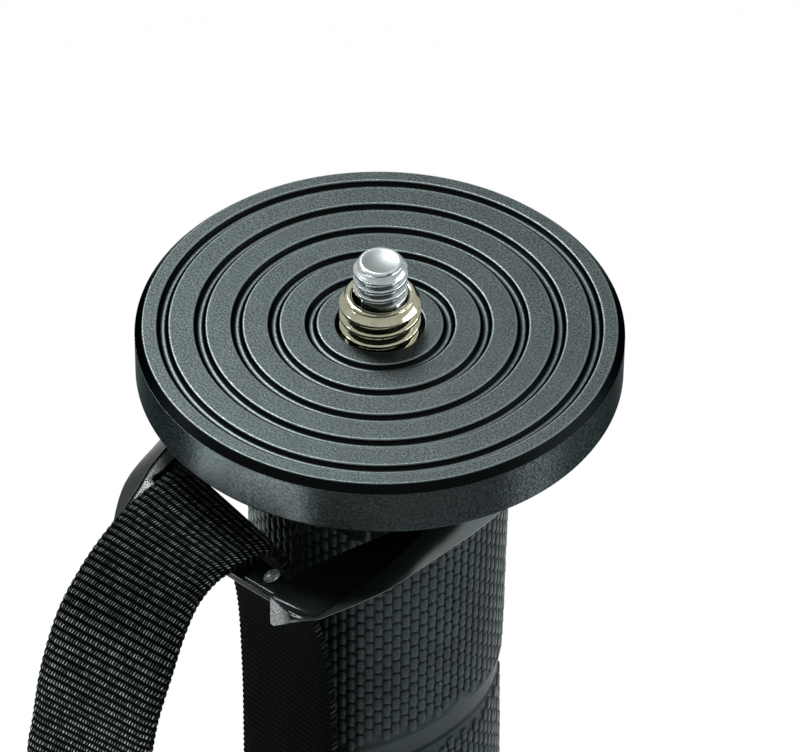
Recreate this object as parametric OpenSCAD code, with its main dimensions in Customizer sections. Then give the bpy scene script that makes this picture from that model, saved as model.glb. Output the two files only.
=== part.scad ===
// Three-section camera monopod, closed, with a wrist strap and two flip locks.
// Origin: centre of the camera plate's top face. +Z is up, the strap hangs at -Y.

/* [Camera plate] */
// Diameter of the camera plate
plate_d = 57; // [52:0.5:70]
// Thickness of the camera plate
plate_t = 7; // [6.5:0.5:10]
// Bevel along the plate's top edge
plate_bevel = 0.9; // [0.4:0.1:1.5]
// Number of ring grooves in the top face
groove_count = 5; // [1:1:6]
// Width of one half-round groove
groove_w = 1.6; // [0.8:0.1:2]
// Mean radius of the innermost groove
groove_first_r = 8.05; // [7.4:0.05:9]
// Distance from one groove to the next
groove_pitch = 4.3; // [2.5:0.1:4.5]

/* [Camera screws] */
// Major diameter of the large threaded stud, 3/8 inch
stud_d = 9.525; // [9:0.005:10]
// Thread pitch of the large stud, 16 to the inch
stud_pitch = 1.5875; // [1:0.0005:1.8]
// Height of the large stud above the plate
stud_h = 4.4; // [4:0.1:7]
// Gap around the stud in the plate's centre hole
stud_gap = 0.45; // [0.2:0.05:1]
// Plate material left above the stud's flange
stud_skin = 2.6; // [2:0.1:3.2]
// Diameter of the stud's flange
stud_flange_d = 16; // [14:0.5:19]
// Thickness of the stud's flange
stud_flange_t = 2.4; // [2:0.1:3]
// Diameter of the stud's spring barrel
barrel_d = 12; // [11.5:0.1:14]
// Length of the spring barrel below the flange
barrel_l = 17; // [17:0.5:19]
// Major diameter of the small threaded pin, 1/4 inch
pin_d = 6.35; // [6:0.005:6.6]
// Thread pitch of the small pin, 20 to the inch
pin_pitch = 1.27; // [1:0.005:1.3]
// Number of thread turns on the small pin
pin_turns = 4; // [3:1:4]
// Diameter of the pin's plain neck below its thread
pin_neck_d = 5.7; // [4.6:0.1:5.8]
// Height of the raised pin above the plate
pin_h = 9.9; // [9:0.1:11]
// Depth of the pin's shoulder below the plate face
pin_shoulder_z = 4.2; // [3.6:0.1:4.6]
// Diameter of the pin's shoulder
pin_shoulder_d = 8.9; // [8:0.1:9.2]
// Thickness of the pin's shoulder
pin_shoulder_t = 2; // [1.5:0.1:3]
// Length of the pin's tail inside the spring
pin_tail_l = 4.5; // [2:0.1:5]
// Radial clearance of the pin in the stud
pin_fit = 0.05; // [0.02:0.01:0.1]
// Wire diameter of the pin's spring
spring_wire = 0.7; // [0.5:0.05:0.9]
// Number of turns in the pin's spring
spring_turns = 7; // [5:1:8]
// Thickness of the plug that closes the spring barrel
spring_plug_t = 2; // [1.5:0.1:3]

/* [Neck] */
// Thickness of the neck plug's flange
neck_flange_t = 4; // [3.5:0.1:6]
// Length of the neck plug inside the upper tube
neck_plug_l = 24; // [20:0.5:40]
// Number of screws that hold the plate to the neck plug
plate_screw_count = 3; // [2:1:6]
// Diameter of a plate screw
plate_screw_d = 2.5; // [2:0.1:3]
// Number of screws that hold the tube to the neck plug
neck_screw_count = 3; // [2:1:4]
// Diameter of a neck or collar screw
side_screw_d = 3; // [2:0.1:4]

/* [Tubes] */
// Outer diameter of the upper tube
upper_tube_d = 27; // [26.5:0.1:30]
// Outer diameter of the middle tube
middle_tube_d = 23; // [22:0.1:23.4]
// Outer diameter of the lower tube
lower_tube_d = 19; // [17:0.1:19.4]
// Wall of each tube
tube_wall = 1.2; // [0.8:0.1:1.5]
// Length of the upper tube
upper_tube_l = 560; // [250:5:700]
// Room between nested ends when the leg is closed
nest_gap = 8; // [2:0.5:20]
// Length of the guide sleeve on an inner tube
guide_l = 44; // [20:1:60]
// Radial clearance of a sliding sleeve or shim
slide_fit = 0.06; // [0.02:0.01:0.1]
// Glue gap of a fixed joint
glue_gap = 0.04; // [0.02:0.01:0.1]

/* [Grip] */
// Diameter of the grip at its top end
grip_top_d = 31.2; // [31:0.1:34]
// Diameter of the grip below its ring
grip_low_d = 30.2; // [29.8:0.1:34]
// Diameter of the grip at its palm swell
grip_swell_d = 31.2; // [30.2:0.1:36]
// Length of the grip
grip_l = 120; // [90:1:200]
// Distance from the grip's top to its smooth ring
grip_ring_at = 35; // [25:0.5:45]
// Height of the smooth ring
grip_ring_h = 5; // [3:0.1:8]
// Diameter at the bottom of the smooth ring's groove
grip_ring_d = 29.4; // [28.8:0.1:30]

/* [Strap yoke] */
// Distance from the plate's underside down to the yoke's top face
yoke_drop = 5; // [3.5:0.1:6]
// Height of the yoke's arms
yoke_h = 4.7; // [4:0.1:7]
// Distance from the tube's axis to the yoke's front edge
yoke_reach = 35.4; // [33:0.1:40]
// Width of the yoke beside the grip
yoke_root_w = 41; // [40:0.1:46]
// Width of the yoke at its front corners
yoke_tip_w = 30.5; // [28:0.1:36]
// Radius of the yoke's front corners
yoke_corner_r = 3.2; // [1:0.1:5]
// How far the arms' noses stand in front of the bar
nose_l = 1.9; // [0.5:0.1:3]
// Width of the gap between the two noses
nose_gap_w = 14.6; // [13:0.1:17]
// Bevel along the outer top edge of each arm
yoke_bevel = 1.7; // [0.5:0.1:2.2]
// Depth of an arm's front corner, where its underside slopes up
yoke_tip_h = 0.9; // [0.6:0.1:2]
// Width of the slot at the bar
slot_front_w = 21; // [20.4:0.1:23]
// Width of the slot at the collar
slot_back_w = 29.5; // [29:0.1:32]
// Depth of the bar that carries the strap
bar_w = 5.5; // [3:0.1:6.5]
// Thickness of the bar that carries the strap
bar_t = 2.2; // [1.5:0.1:3.5]
// Wall of the yoke's collar
yoke_collar_wall = 4; // [3:0.1:4.2]
// Gap above and below the yoke's collar
yoke_gap = 0.2; // [0.1:0.05:0.5]

/* [Strap] */
// Width of the strap webbing
strap_w = 15; // [10:0.5:15]
// Thickness of the strap webbing
strap_t = 1.5; // [1:0.1:2]
// Sideways place of the strap on the bar
strap_shift = -3.7; // [-3.7:0.1:3.7]
// Length of the hanging loop below the bar
strap_drop = 184; // [170:1:240]
// How far the loop stands out in front of the bar
strap_bulge = 21.5; // [18:0.5:40]
// Clearance between the strap and what it lies on
strap_gap = 0.35; // [0.3:0.05:0.6]

/* [Leg locks] */
// Wall of a lock collar
collar_wall = 3.2; // [2.8:0.1:5]
// Length of a collar's socket on its tube
socket_l = 16; // [12:0.5:30]
// Length of a collar's clamp below its tube
clamp_l = 20; // [18:0.5:30]
// Height of the lip that holds the shim
lip_h = 2; // [1.5:0.1:4]
// Width of the clamp's slot
clamp_slot_w = 3; // [2:0.1:4]
// Thickness of one clamp ear
ear_t = 6; // [5:0.1:8]
// How far the ears stand out from the collar
ear_reach = 9; // [8.5:0.1:12]
// Diameter of the clamp bolt
bolt_d = 4; // [3:0.1:5]
// Width across the corners of the clamp nut
nut_d = 7.6; // [7:0.1:8.4]
// Thickness of the clamp nut
nut_t = 3; // [2.5:0.1:4]
// Diameter of the bolt's eye
eye_d = 7.6; // [7:0.1:8.4]
// Height of the bolt's eye
eye_h = 6; // [5:0.1:7]
// Diameter of the lever's cam
cam_d = 10; // [9.4:0.1:11]
// Throw of the lever's cam
cam_throw = 0.8; // [0.4:0.1:1.2]
// Height of a lever
lever_h = 14; // [12:0.5:17]
// Thickness of a lever's handle
lever_t = 4.4; // [3:0.1:5]
// Angle of the collar that a lever's handle covers
lever_wrap = 92; // [60:1:120]
// Gap between a lever's handle and its collar
lever_gap = 1.2; // [0.8:0.1:3]
// How much the tip of a lever's handle is thicker than the handle
lever_bead = 0.8; // [0.4:0.1:1.2]
// Diameter of a lever's hinge pin
hinge_d = 3; // [2:0.1:3.6]
// Radial clearance of a lever on its hinge pin
hinge_fit = 0.04; // [0.02:0.01:0.1]
// Gap between stacked locks when the leg is closed
lock_gap = 2; // [1:0.1:6]

/* [Foot] */
// Diameter of the rubber foot at its sole
foot_d = 28; // [26:0.5:40]
// Diameter of the rubber foot at its top
foot_top_d = 24; // [23:0.5:30]
// Length of the foot's sleeve on the lower tube
foot_sleeve_l = 16; // [10:0.5:30]
// Height of the foot below the lower tube
foot_base_h = 18; // [14:0.5:30]
// Rounding of the foot's sole
foot_round = 5; // [2:0.1:6]
// Diameter of the foot plug's stud in the rubber
foot_stud_d = 8; // [6:0.5:9]
// Length of the foot plug inside the lower tube
foot_plug_l = 25; // [10:0.5:40]

/* [Hidden] */
$fn = 96;
// Overshoot of a cutting solid past the face that it cuts
cut = 1;

// Heights down the closed monopod
plate_z = -plate_t;
tube_top_z = plate_z - neck_flange_t;
flange_z = -stud_skin - stud_flange_t;
barrel_z = flange_z - barrel_l;
spring_z = barrel_z + spring_plug_t;
shoulder_z = -pin_shoulder_z - pin_shoulder_t;
plug_z = tube_top_z - neck_plug_l;
upper_end_z = tube_top_z - upper_tube_l;
middle_top_z = plug_z - nest_gap;
middle_end_z = upper_end_z - clamp_l - lock_gap - socket_l;
lower_top_z = middle_top_z - nest_gap;
foot_top_z = middle_end_z - clamp_l - lock_gap;
lower_end_z = foot_top_z - foot_sleeve_l;
sole_z = lower_end_z - foot_base_h;

// Radii that pieces share
pin_bore_r = pin_d / 2 + pin_fit;
barrel_bore_r = pin_shoulder_d / 2 + pin_fit;
upper_r = upper_tube_d / 2;
middle_r = middle_tube_d / 2;
lower_r = lower_tube_d / 2;
upper_bore_r = upper_r - tube_wall;
middle_bore_r = middle_r - tube_wall;
lower_bore_r = lower_r - tube_wall;
plate_screw_r = (stud_flange_d / 2 + upper_r) / 2;
side_hole_r = side_screw_d / 2 + glue_gap;

// Yoke and grip
yoke_z = plate_z - yoke_drop;
yoke_bottom_z = yoke_z - yoke_h;
collar_bore_r = upper_r + glue_gap;
yoke_collar_r = upper_r + yoke_collar_wall;
grip_top_z = yoke_bottom_z + yoke_h / 6;
grip_top_r = grip_top_d / 2;
grip_end_z = grip_top_z - grip_l;
bar_out = yoke_reach - nose_l;
bar_in = bar_out - bar_w;

// Centre line of the strap's loop, as distance in front of the axis and height
crest_z = yoke_z + strap_gap + strap_t / 2;
run_s = max(grip_top_d, grip_swell_d) / 2 + strap_gap + strap_t / 2;
loop_z = crest_z - strap_drop;
front_s = bar_out + strap_bulge;
strap_points = [
    [bar_in + bar_w / 2, crest_z], [bar_out + 3.5, crest_z - 0.5], [bar_out + 8.5, crest_z - 3.5],
    [front_s - 8.5, crest_z - 10], [front_s - 4.5, crest_z - 19], [front_s - 1.5, crest_z - 34],
    [front_s, crest_z - 60], [front_s - 1, loop_z + 95], [front_s - 6, loop_z + 60],
    [front_s - 14, loop_z + 30], [run_s + 16, loop_z + 8], [run_s + 9, loop_z],
    [run_s + 2.5, loop_z + 7], [run_s, loop_z + 30], [run_s, loop_z + 75], [run_s, crest_z - 70],
    [run_s, crest_z - 38], [run_s + 0.8, crest_z - 25], [run_s + 3.6, crest_z - 13],
    [run_s + 6.2, crest_z - 4.5], [bar_in - 1.6, crest_z - 0.6]];
// Steps along each span of the strap's curve
strap_steps = 5;

// Parts of a leg lock
eye_clear = 0.3;
// Angle from the hinge to where a lever's handle starts
lever_root = 14;
hinge_y = clamp_slot_w / 2 + ear_t + cam_d / 2 + cam_throw + glue_gap;

// Outline helpers

// Point on a closed smooth curve through the points p, between points i and i + 1
function curve_point(p, i, t) =
    let (n = len(p), a = p[(i + n - 1) % n], b = p[i], c = p[(i + 1) % n], d = p[(i + 2) % n])
    0.5 * (2 * b + (c - a) * t + (2 * a - 5 * b + 4 * c - d) * t * t
           + (3 * b - a - 3 * c + d) * t * t * t);
function closed_curve(p, steps) =
    [for (i = [0 : len(p) - 1]) for (k = [0 : steps - 1]) curve_point(p, i, k / steps)];
function unit(v) = v / norm(v);
// The closed outline c moved sideways by d
function beside(c, d) =
    let (n = len(c))
    [for (i = [0 : n - 1])
        let (v = unit(c[(i + 1) % n] - c[(i + n - 1) % n]))
        c[i] + d * [v[1], -v[0]]];
// Arc that rounds corner b, between a and c, with radius r
function corner_arc(a, b, c, r, steps = 8) =
    let (u = unit(a - b), v = unit(c - b), half = acos(u * v) / 2, m = b + unit(u + v) * r / sin(half),
         p = b + u * r / tan(half) - m, q = b + v * r / tan(half) - m,
         start = atan2(p[1], p[0]), turn = (atan2(q[1], q[0]) - start + 540) % 360 - 180)
    [for (k = [0 : steps]) m + r * [cos(start + turn * k / steps), sin(start + turn * k / steps)]];
// Outline through the points p with its corners rounded by the radii r
function rounded(p, r) =
    let (n = len(p))
    [for (i = [0 : n - 1])
        each (r[i] > 0 ? corner_arc(p[(i + n - 1) % n], p[i], p[(i + 1) % n], r[i]) : [p[i]])];
// Half profile of a screw thread of ring crests, from z up
function thread_profile(r, pitch, turns, z) =
    let (root = r - 0.5413 * pitch)
    [for (i = [0 : turns - 1])
        each [[root, z + (i + 0.125) * pitch], [r, z + (i + 0.4375) * pitch],
              [r, z + (i + 0.5625) * pitch], [root, z + (i + 0.875) * pitch]]];

// Shape helpers

// Upright tube between two heights
module pipe(r_out, r_in, z_low, z_high) {
    difference() {
        translate([0, 0, z_low]) cylinder(r = r_out, h = z_high - z_low);
        translate([0, 0, z_low - cut]) cylinder(r = r_in, h = z_high - z_low + 2 * cut);
    }
}
// Upright rod between two heights
module rod(r, z_low, z_high) {
    translate([0, 0, z_low]) cylinder(r = r, h = z_high - z_low);
}
// Rod along +X from x_low to x_high at height z
module side_rod(r, x_low, x_high, z) {
    translate([x_low, 0, z]) rotate([0, 90, 0]) cylinder(r = r, h = x_high - x_low);
}
// Copies around the axis
module around(count, first = 0) {
    for (i = [0 : count - 1]) rotate(first + i * 360 / count) children();
}

// Head

module camera_plate() {
    color("#2b2e2f")
    difference() {
        rotate_extrude() polygon([[0, plate_z], [plate_d / 2 - plate_bevel / 2, plate_z],
            [plate_d / 2, plate_z + plate_bevel / 2], [plate_d / 2, -plate_bevel],
            [plate_d / 2 - plate_bevel, 0], [0, 0]]);
        for (i = [0 : groove_count - 1])
            rotate_extrude() translate([groove_first_r + i * groove_pitch, 0]) circle(d = groove_w, $fn = 32);
        rod(stud_d / 2 + stud_gap, plate_z - cut, cut);
        rod(stud_flange_d / 2 + glue_gap, plate_z - cut, -stud_skin);
        around(plate_screw_count, 30) translate([plate_screw_r, 0, 0])
            rod(plate_screw_d / 2 + glue_gap, plate_z - cut, -stud_skin);
    }
}

module plate_screws() {
    color("#8b8e90")
    around(plate_screw_count, 30) translate([plate_screw_r, 0, 0])
        rod(plate_screw_d / 2, tube_top_z + glue_gap, -stud_skin - glue_gap);
}

// Turns of the large stud's thread whose crests stand above the plate's face
stud_turns = floor(stud_h / stud_pitch + 7 / 16);
stud_thread_z = stud_h - stud_turns * stud_pitch;
stud_root_r = stud_d / 2 - 0.5413 * stud_pitch;

module large_stud() {
    color("#b9ad96")
    difference() {
        rotate_extrude() polygon(concat(
            [[0, barrel_z], [barrel_d / 2, barrel_z], [barrel_d / 2, flange_z],
             [stud_flange_d / 2, flange_z], [stud_flange_d / 2, -stud_skin], [stud_root_r, -stud_skin]],
            thread_profile(stud_d / 2, stud_pitch, stud_turns, stud_thread_z),
            [[stud_root_r, stud_h], [0, stud_h]]));
        rod(pin_bore_r, barrel_z - cut, stud_h + cut);
        rod(barrel_bore_r, barrel_z - cut, -pin_shoulder_z);
    }
}

pin_root_r = pin_d / 2 - 0.5413 * pin_pitch;
// How far the small pin's top face draws in from its thread root
pin_bevel = 0.3;

module small_pin() {
    color("#c3c5c6")
    rotate_extrude() polygon(concat(
        [[0, shoulder_z - pin_tail_l], [pin_root_r, shoulder_z - pin_tail_l], [pin_root_r, shoulder_z],
         [pin_shoulder_d / 2, shoulder_z], [pin_shoulder_d / 2, -pin_shoulder_z - glue_gap],
         [pin_neck_d / 2, -pin_shoulder_z - glue_gap], [pin_neck_d / 2, pin_h - pin_turns * pin_pitch]],
        thread_profile(pin_d / 2, pin_pitch, pin_turns, pin_h - pin_turns * pin_pitch),
        [[pin_root_r - pin_bevel, pin_h], [0, pin_h]]));
}

// Coil of the pin's spring
coil_r = (pin_root_r + barrel_bore_r) / 2;
coil_low = spring_z + spring_wire / 2 + glue_gap;
coil_high = shoulder_z - spring_wire / 2 - glue_gap;
coil_rings = 8;
coil_sides = 6;
coil_count = spring_turns * coil_rings;
function coil_centre(i) =
    [coil_r * cos(360 * i / coil_rings), coil_r * sin(360 * i / coil_rings),
     coil_low + (coil_high - coil_low) * i / coil_count];
function coil_ring(i) =
    [for (k = [0 : coil_sides - 1])
        let (a = 360 * k / coil_sides, out = spring_wire / 2 * cos(a), up = spring_wire / 2 * sin(a))
        coil_centre(i) + [out * cos(360 * i / coil_rings), out * sin(360 * i / coil_rings), up]];
coil_gap = min([for (i = [0 : coil_count - coil_rings])
    norm(coil_centre(i + coil_rings) - coil_centre(i)) - spring_wire]);
echo(least_spring_gap = coil_gap);

module pin_spring() {
    last = coil_count * coil_sides;
    color("#a8abad")
    polyhedron(
        points = [for (i = [0 : coil_count]) each coil_ring(i)],
        faces = concat(
            [for (k = [1 : coil_sides - 2]) [0, k, k + 1]],
            [for (k = [1 : coil_sides - 2]) [last, last + k + 1, last + k]],
            [for (i = [0 : coil_count - 1]) for (k = [0 : coil_sides - 1])
                let (a = i * coil_sides + k, b = i * coil_sides + (k + 1) % coil_sides)
                each [[a, a + coil_sides, b], [b, a + coil_sides, b + coil_sides]]]));
}

module spring_plug() {
    color("#9a9da0") rod(barrel_bore_r - glue_gap, barrel_z, spring_z);
}

module neck_plug() {
    color("#55595b")
    difference() {
        union() {
            rod(upper_r, tube_top_z, plate_z);
            rod(stud_flange_d / 2, plate_z - cut, flange_z);
            rod(upper_bore_r - glue_gap, plug_z, tube_top_z + cut);
        }
        rod(barrel_d / 2 + glue_gap, barrel_z, flange_z + cut);
        around(plate_screw_count, 30) translate([plate_screw_r, 0, 0])
            rod(plate_screw_d / 2 + glue_gap, tube_top_z + glue_gap, plate_z + cut);
        around(neck_screw_count, 90) side_rod(side_hole_r, upper_bore_r / 2, upper_r + cut, neck_screw_z);
    }
}

neck_screw_z = tube_top_z - neck_plug_l / 2;

module neck_screws() {
    color("#8b8e90")
    around(neck_screw_count, 90)
        side_rod(side_screw_d / 2, upper_bore_r / 2 + glue_gap, upper_r - glue_gap, neck_screw_z);
}

// Strap and grip

// Half of the yoke's outline, from the collar to the front corner
yoke_back = [yoke_collar_r * cos(55), yoke_collar_r * sin(55)];
yoke_outline = [
    yoke_back, [yoke_root_w / 2, 2], [yoke_tip_w / 2, -yoke_reach],
    [-yoke_tip_w / 2, -yoke_reach], [-yoke_root_w / 2, 2], [-yoke_back[0], yoke_back[1]]];
yoke_radii = [0, 5, yoke_corner_r, yoke_corner_r, 5, 0];
slot_back = yoke_collar_r + 0.3;
slot_outline = [
    [slot_front_w / 2, -bar_in], [-slot_front_w / 2, -bar_in],
    [-slot_back_w / 2, -slot_back], [slot_back_w / 2, -slot_back]];
// Direction of an arm's outer edge in plan
arm_angle = atan2(yoke_reach + 2, (yoke_root_w - yoke_tip_w) / 2);

// Cuts the bevel along the outer top edge of the arm at +X
module arm_bevel() {
    translate([yoke_root_w / 2, 2, yoke_z]) rotate(arm_angle - 90) rotate([0, 45, 0])
        translate([-yoke_root_w, -2 * yoke_reach, yoke_bevel / sqrt(2)])
            cube([2 * yoke_root_w, 4 * yoke_reach, yoke_root_w]);
}

// Cuts the slope under the front corner of the arm at +X, through three points on the arm
module arm_slope() {
    beside_grip = [yoke_root_w / 2 - 1.5, -yoke_reach / 7, yoke_bottom_z];
    at_corner = [yoke_tip_w / 2, -yoke_reach + yoke_corner_r / 2, yoke_z - yoke_tip_h];
    under_bar = [slot_front_w / 2 - 2.5, -yoke_reach, yoke_bottom_z];
    down = unit(cross(at_corner - beside_grip, under_bar - beside_grip));
    translate(beside_grip) rotate([0, acos(down[2]), atan2(down[1], down[0])])
        translate([-2 * yoke_reach, -2 * yoke_reach, 0]) cube(4 * yoke_reach);
}

module strap_yoke() {
    color("#17191a")
    difference() {
        union() {
            difference() {
                translate([0, 0, yoke_bottom_z]) linear_extrude(yoke_h)
                    polygon(rounded(yoke_outline, yoke_radii));
                for (side = [0, 1]) mirror([side, 0, 0]) {
                    arm_bevel();
                    arm_slope();
                }
                translate([0, 0, yoke_bottom_z - cut]) linear_extrude(yoke_h + 2 * cut)
                    polygon(rounded(slot_outline, [1, 1, 0, 0]));
                translate([-nose_gap_w / 2, -yoke_reach - cut, yoke_bottom_z - cut])
                    cube([nose_gap_w, yoke_reach + 2 * cut - bar_in, yoke_h - bar_t + cut]);
                translate([-nose_gap_w / 2, -yoke_reach - cut, yoke_bottom_z - cut])
                    cube([nose_gap_w, nose_l + cut, yoke_h + 2 * cut]);
            }
            rod(yoke_collar_r, grip_top_z + yoke_gap, plate_z - yoke_gap);
        }
        rod(collar_bore_r, yoke_bottom_z - cut, cut);
        rod(grip_top_r + 2 * yoke_gap, yoke_bottom_z - cut, grip_top_z + yoke_gap);
    }
}

module strap() {
    centre_line = closed_curve(strap_points, strap_steps);
    color("#101112")
    translate([strap_shift - strap_w / 2, 0, 0])
    rotate([90, 0, 90])
    mirror([1, 0])
    linear_extrude(strap_w)
    difference() {
        polygon(beside(centre_line, -strap_t / 2));
        polygon(beside(centre_line, strap_t / 2));
    }
}

module grip() {
    ring_z = grip_top_z - grip_ring_at;
    ring_low_z = ring_z - grip_ring_h;
    end_bead = 1.2;
    color("#1d1f20")
    rotate_extrude() polygon([
        [upper_r + glue_gap, grip_end_z], [grip_low_d / 2 - end_bead, grip_end_z],
        [grip_low_d / 2, grip_end_z + end_bead],
        [grip_swell_d / 2, (grip_end_z + ring_low_z) / 2],
        [grip_low_d / 2, ring_low_z], [grip_ring_d / 2, ring_low_z + grip_ring_h / 4],
        [grip_top_d / 2 - 0.3, ring_z], [grip_top_d / 2, grip_top_z - grip_ring_h],
        [grip_top_d / 2, grip_top_z], [upper_r + glue_gap, grip_top_z]]);
}

// Tubes and guides

module tube_with_holes(r, z_low, z_high, hole_z, count, first) {
    difference() {
        pipe(r, r - tube_wall, z_low, z_high);
        around(count, first) side_rod(side_hole_r, r - tube_wall - cut, r + cut, hole_z);
    }
}

module upper_tube() {
    color("#26292a")
    difference() {
        tube_with_holes(upper_r, upper_end_z, tube_top_z, upper_end_z + socket_l / 2, 2, 90);
        around(neck_screw_count, 90) side_rod(side_hole_r, upper_bore_r - cut, upper_r + cut, neck_screw_z);
    }
}

module middle_tube() {
    color("#26292a")
    tube_with_holes(middle_r, middle_end_z, middle_top_z, middle_end_z + socket_l / 2, 2, 90);
}

module lower_tube() {
    color("#26292a") pipe(lower_r, lower_bore_r, lower_end_z, lower_top_z);
}

module middle_guide() {
    color("#c9c8c2")
    pipe(upper_bore_r - slide_fit, middle_r + glue_gap, middle_top_z - guide_l, middle_top_z);
}

module lower_guide() {
    color("#c9c8c2")
    pipe(middle_bore_r - slide_fit, lower_r + glue_gap, lower_top_z - guide_l, lower_top_z);
}

// Leg locks: r_tube is the tube that carries the lock, r_slide the tube that it clamps, z_end its end

function clamp_mid(z_end) = z_end - clamp_l / 2;
function collar_r(r_tube) = r_tube + collar_wall;
// Distance of the clamp bolt from the tube's axis
function bolt_x(r_tube) = collar_r(r_tube) + ear_reach / 2;

module lock_collar(r_tube, r_slide, z_end) {
    bore_r = r_tube + glue_gap;
    low = z_end - clamp_l;
    ear_side = clamp_slot_w / 2 + ear_t;
    color("#1b1d1e")
    difference() {
        union() {
            rod(collar_r(r_tube), low, z_end + socket_l);
            translate([0, -ear_side, low])
                cube([collar_r(r_tube) + ear_reach, 2 * ear_side, clamp_l - lip_h]);
        }
        rod(bore_r, low + lip_h, z_end + socket_l + cut);
        rod(r_slide + 5 * slide_fit, low - cut, low + lip_h + cut);
        translate([0, -clamp_slot_w / 2, low - cut])
            cube([collar_r(r_tube) + ear_reach + cut, clamp_slot_w, clamp_l + cut - lip_h]);
        translate([bolt_x(r_tube), -ear_side - cut, clamp_mid(z_end)]) rotate([-90, 0, 0])
            cylinder(d = bolt_d + 2 * glue_gap, h = 2 * ear_side + 2 * cut);
        translate([bolt_x(r_tube), -ear_side - cut, clamp_mid(z_end)]) rotate([-90, 0, 0])
            cylinder(d = nut_d + 4 * glue_gap, h = nut_t + cut);
        around(2, 90) side_rod(side_hole_r, r_tube - cut, collar_r(r_tube) + cut, z_end + socket_l / 2);
    }
}

module collar_screws(r_tube, z_end) {
    color("#8b8e90")
    around(2, 90)
        side_rod(side_screw_d / 2, r_tube - tube_wall + 5 * slide_fit, collar_r(r_tube) - glue_gap,
                 z_end + socket_l / 2);
}

module lock_shim(r_tube, r_slide, z_end) {
    low = z_end - clamp_l + lip_h + glue_gap;
    color("#d3d1c8")
    difference() {
        pipe(r_tube - glue_gap, r_slide + slide_fit, low, z_end - glue_gap);
        translate([0, -clamp_slot_w / 2, low - cut]) cube([r_tube + cut, clamp_slot_w, clamp_l + 2 * cut]);
    }
}

module eye_bolt(r_tube, z_end) {
    color("#a4a7a9")
    translate([bolt_x(r_tube), 0, clamp_mid(z_end)])
    difference() {
        union() {
            translate([0, hinge_y, -eye_h / 2]) cylinder(d = eye_d, h = eye_h);
            rotate([-90, 0, 0]) translate([0, 0, -clamp_slot_w / 2 - ear_t])
                cylinder(d = bolt_d, h = clamp_slot_w / 2 + ear_t + hinge_y);
        }
        translate([0, hinge_y, -eye_h]) cylinder(r = hinge_d / 2 + hinge_fit, h = 2 * eye_h);
    }
}

module bolt_nut(r_tube, z_end) {
    color("#8b8e90")
    translate([bolt_x(r_tube), -clamp_slot_w / 2 - ear_t, clamp_mid(z_end)]) rotate([-90, 0, 0])
    difference() {
        cylinder(d = nut_d, h = nut_t - glue_gap, $fn = 6);
        translate([0, 0, -cut]) cylinder(d = bolt_d + 2 * glue_gap, h = nut_t + 2 * cut);
    }
}

// Direction at angle a
function toward(a) = [cos(a), sin(a)];

module lock_lever(r_tube, z_end) {
    handle_in = collar_r(r_tube) + lever_gap;
    handle_out = handle_in + lever_t;
    hinge = [bolt_x(r_tube), hinge_y];
    first = atan2(hinge_y, bolt_x(r_tube));
    last = first + lever_wrap;
    // Ends of the handle's arc, and of the straight root that runs from it to the cam
    arc_start = first + lever_root;
    root_end = arc_start + lever_root / 2;
    root_skin = lever_t / 8;
    cam_top = hinge + [0, cam_d / 2];
    cam_bottom = [hinge[0] - cam_d / 2, hinge[1] - cam_d / 4];
    far = 2 * handle_out;
    color("#202324")
    translate([0, 0, clamp_mid(z_end) - lever_h / 2])
    difference() {
        union() {
            translate(hinge - [0, cam_throw]) cylinder(d = cam_d, h = lever_h);
            linear_extrude(lever_h) polygon([cam_top, (handle_out - root_skin) * toward(root_end),
                (handle_in + root_skin) * toward(root_end), cam_bottom, hinge]);
            intersection() {
                pipe(handle_out, handle_in, 0, lever_h);
                translate([0, 0, -cut]) linear_extrude(lever_h + 2 * cut)
                    polygon([[0, 0], far * toward(arc_start), far * toward((arc_start + last) / 2),
                             far * toward(last)]);
            }
            translate((handle_in + lever_t / 2) * toward(last)) cylinder(d = lever_t + lever_bead, h = lever_h);
        }
        translate([hinge[0], hinge[1], -cut]) cylinder(r = hinge_d / 2 + glue_gap, h = lever_h + 2 * cut);
        translate([hinge[0], hinge[1], lever_h / 2 - eye_h / 2 - eye_clear])
            cylinder(d = eye_d + 4 * eye_clear, h = eye_h + 2 * eye_clear);
        translate([hinge[0] - bolt_d / 2 - 2 * eye_clear, hinge[1] - cam_d, lever_h / 2 - eye_h / 2 - eye_clear])
            cube([2 * cam_d, 2 * cam_d, eye_h + 2 * eye_clear]);
    }
}

module lever_pin(r_tube, z_end) {
    color("#a4a7a9")
    translate([bolt_x(r_tube), hinge_y, clamp_mid(z_end) - lever_h / 2]) cylinder(d = hinge_d, h = lever_h);
}

module upper_collar() { lock_collar(upper_r, middle_r, upper_end_z); }
module upper_collar_screws() { collar_screws(upper_r, upper_end_z); }
module upper_shim() { lock_shim(upper_r, middle_r, upper_end_z); }
module upper_eye_bolt() { eye_bolt(upper_r, upper_end_z); }
module upper_bolt_nut() { bolt_nut(upper_r, upper_end_z); }
module upper_lever() { lock_lever(upper_r, upper_end_z); }
module upper_lever_pin() { lever_pin(upper_r, upper_end_z); }
module lower_collar() { lock_collar(middle_r, lower_r, middle_end_z); }
module lower_collar_screws() { collar_screws(middle_r, middle_end_z); }
module lower_shim() { lock_shim(middle_r, lower_r, middle_end_z); }
module lower_eye_bolt() { eye_bolt(middle_r, middle_end_z); }
module lower_bolt_nut() { bolt_nut(middle_r, middle_end_z); }
module lower_lever() { lock_lever(middle_r, middle_end_z); }
module lower_lever_pin() { lever_pin(middle_r, middle_end_z); }

// Foot

plug_flange_t = 3;
plug_stud_l = 7;
plug_stud_r = foot_stud_d / 2;

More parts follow.
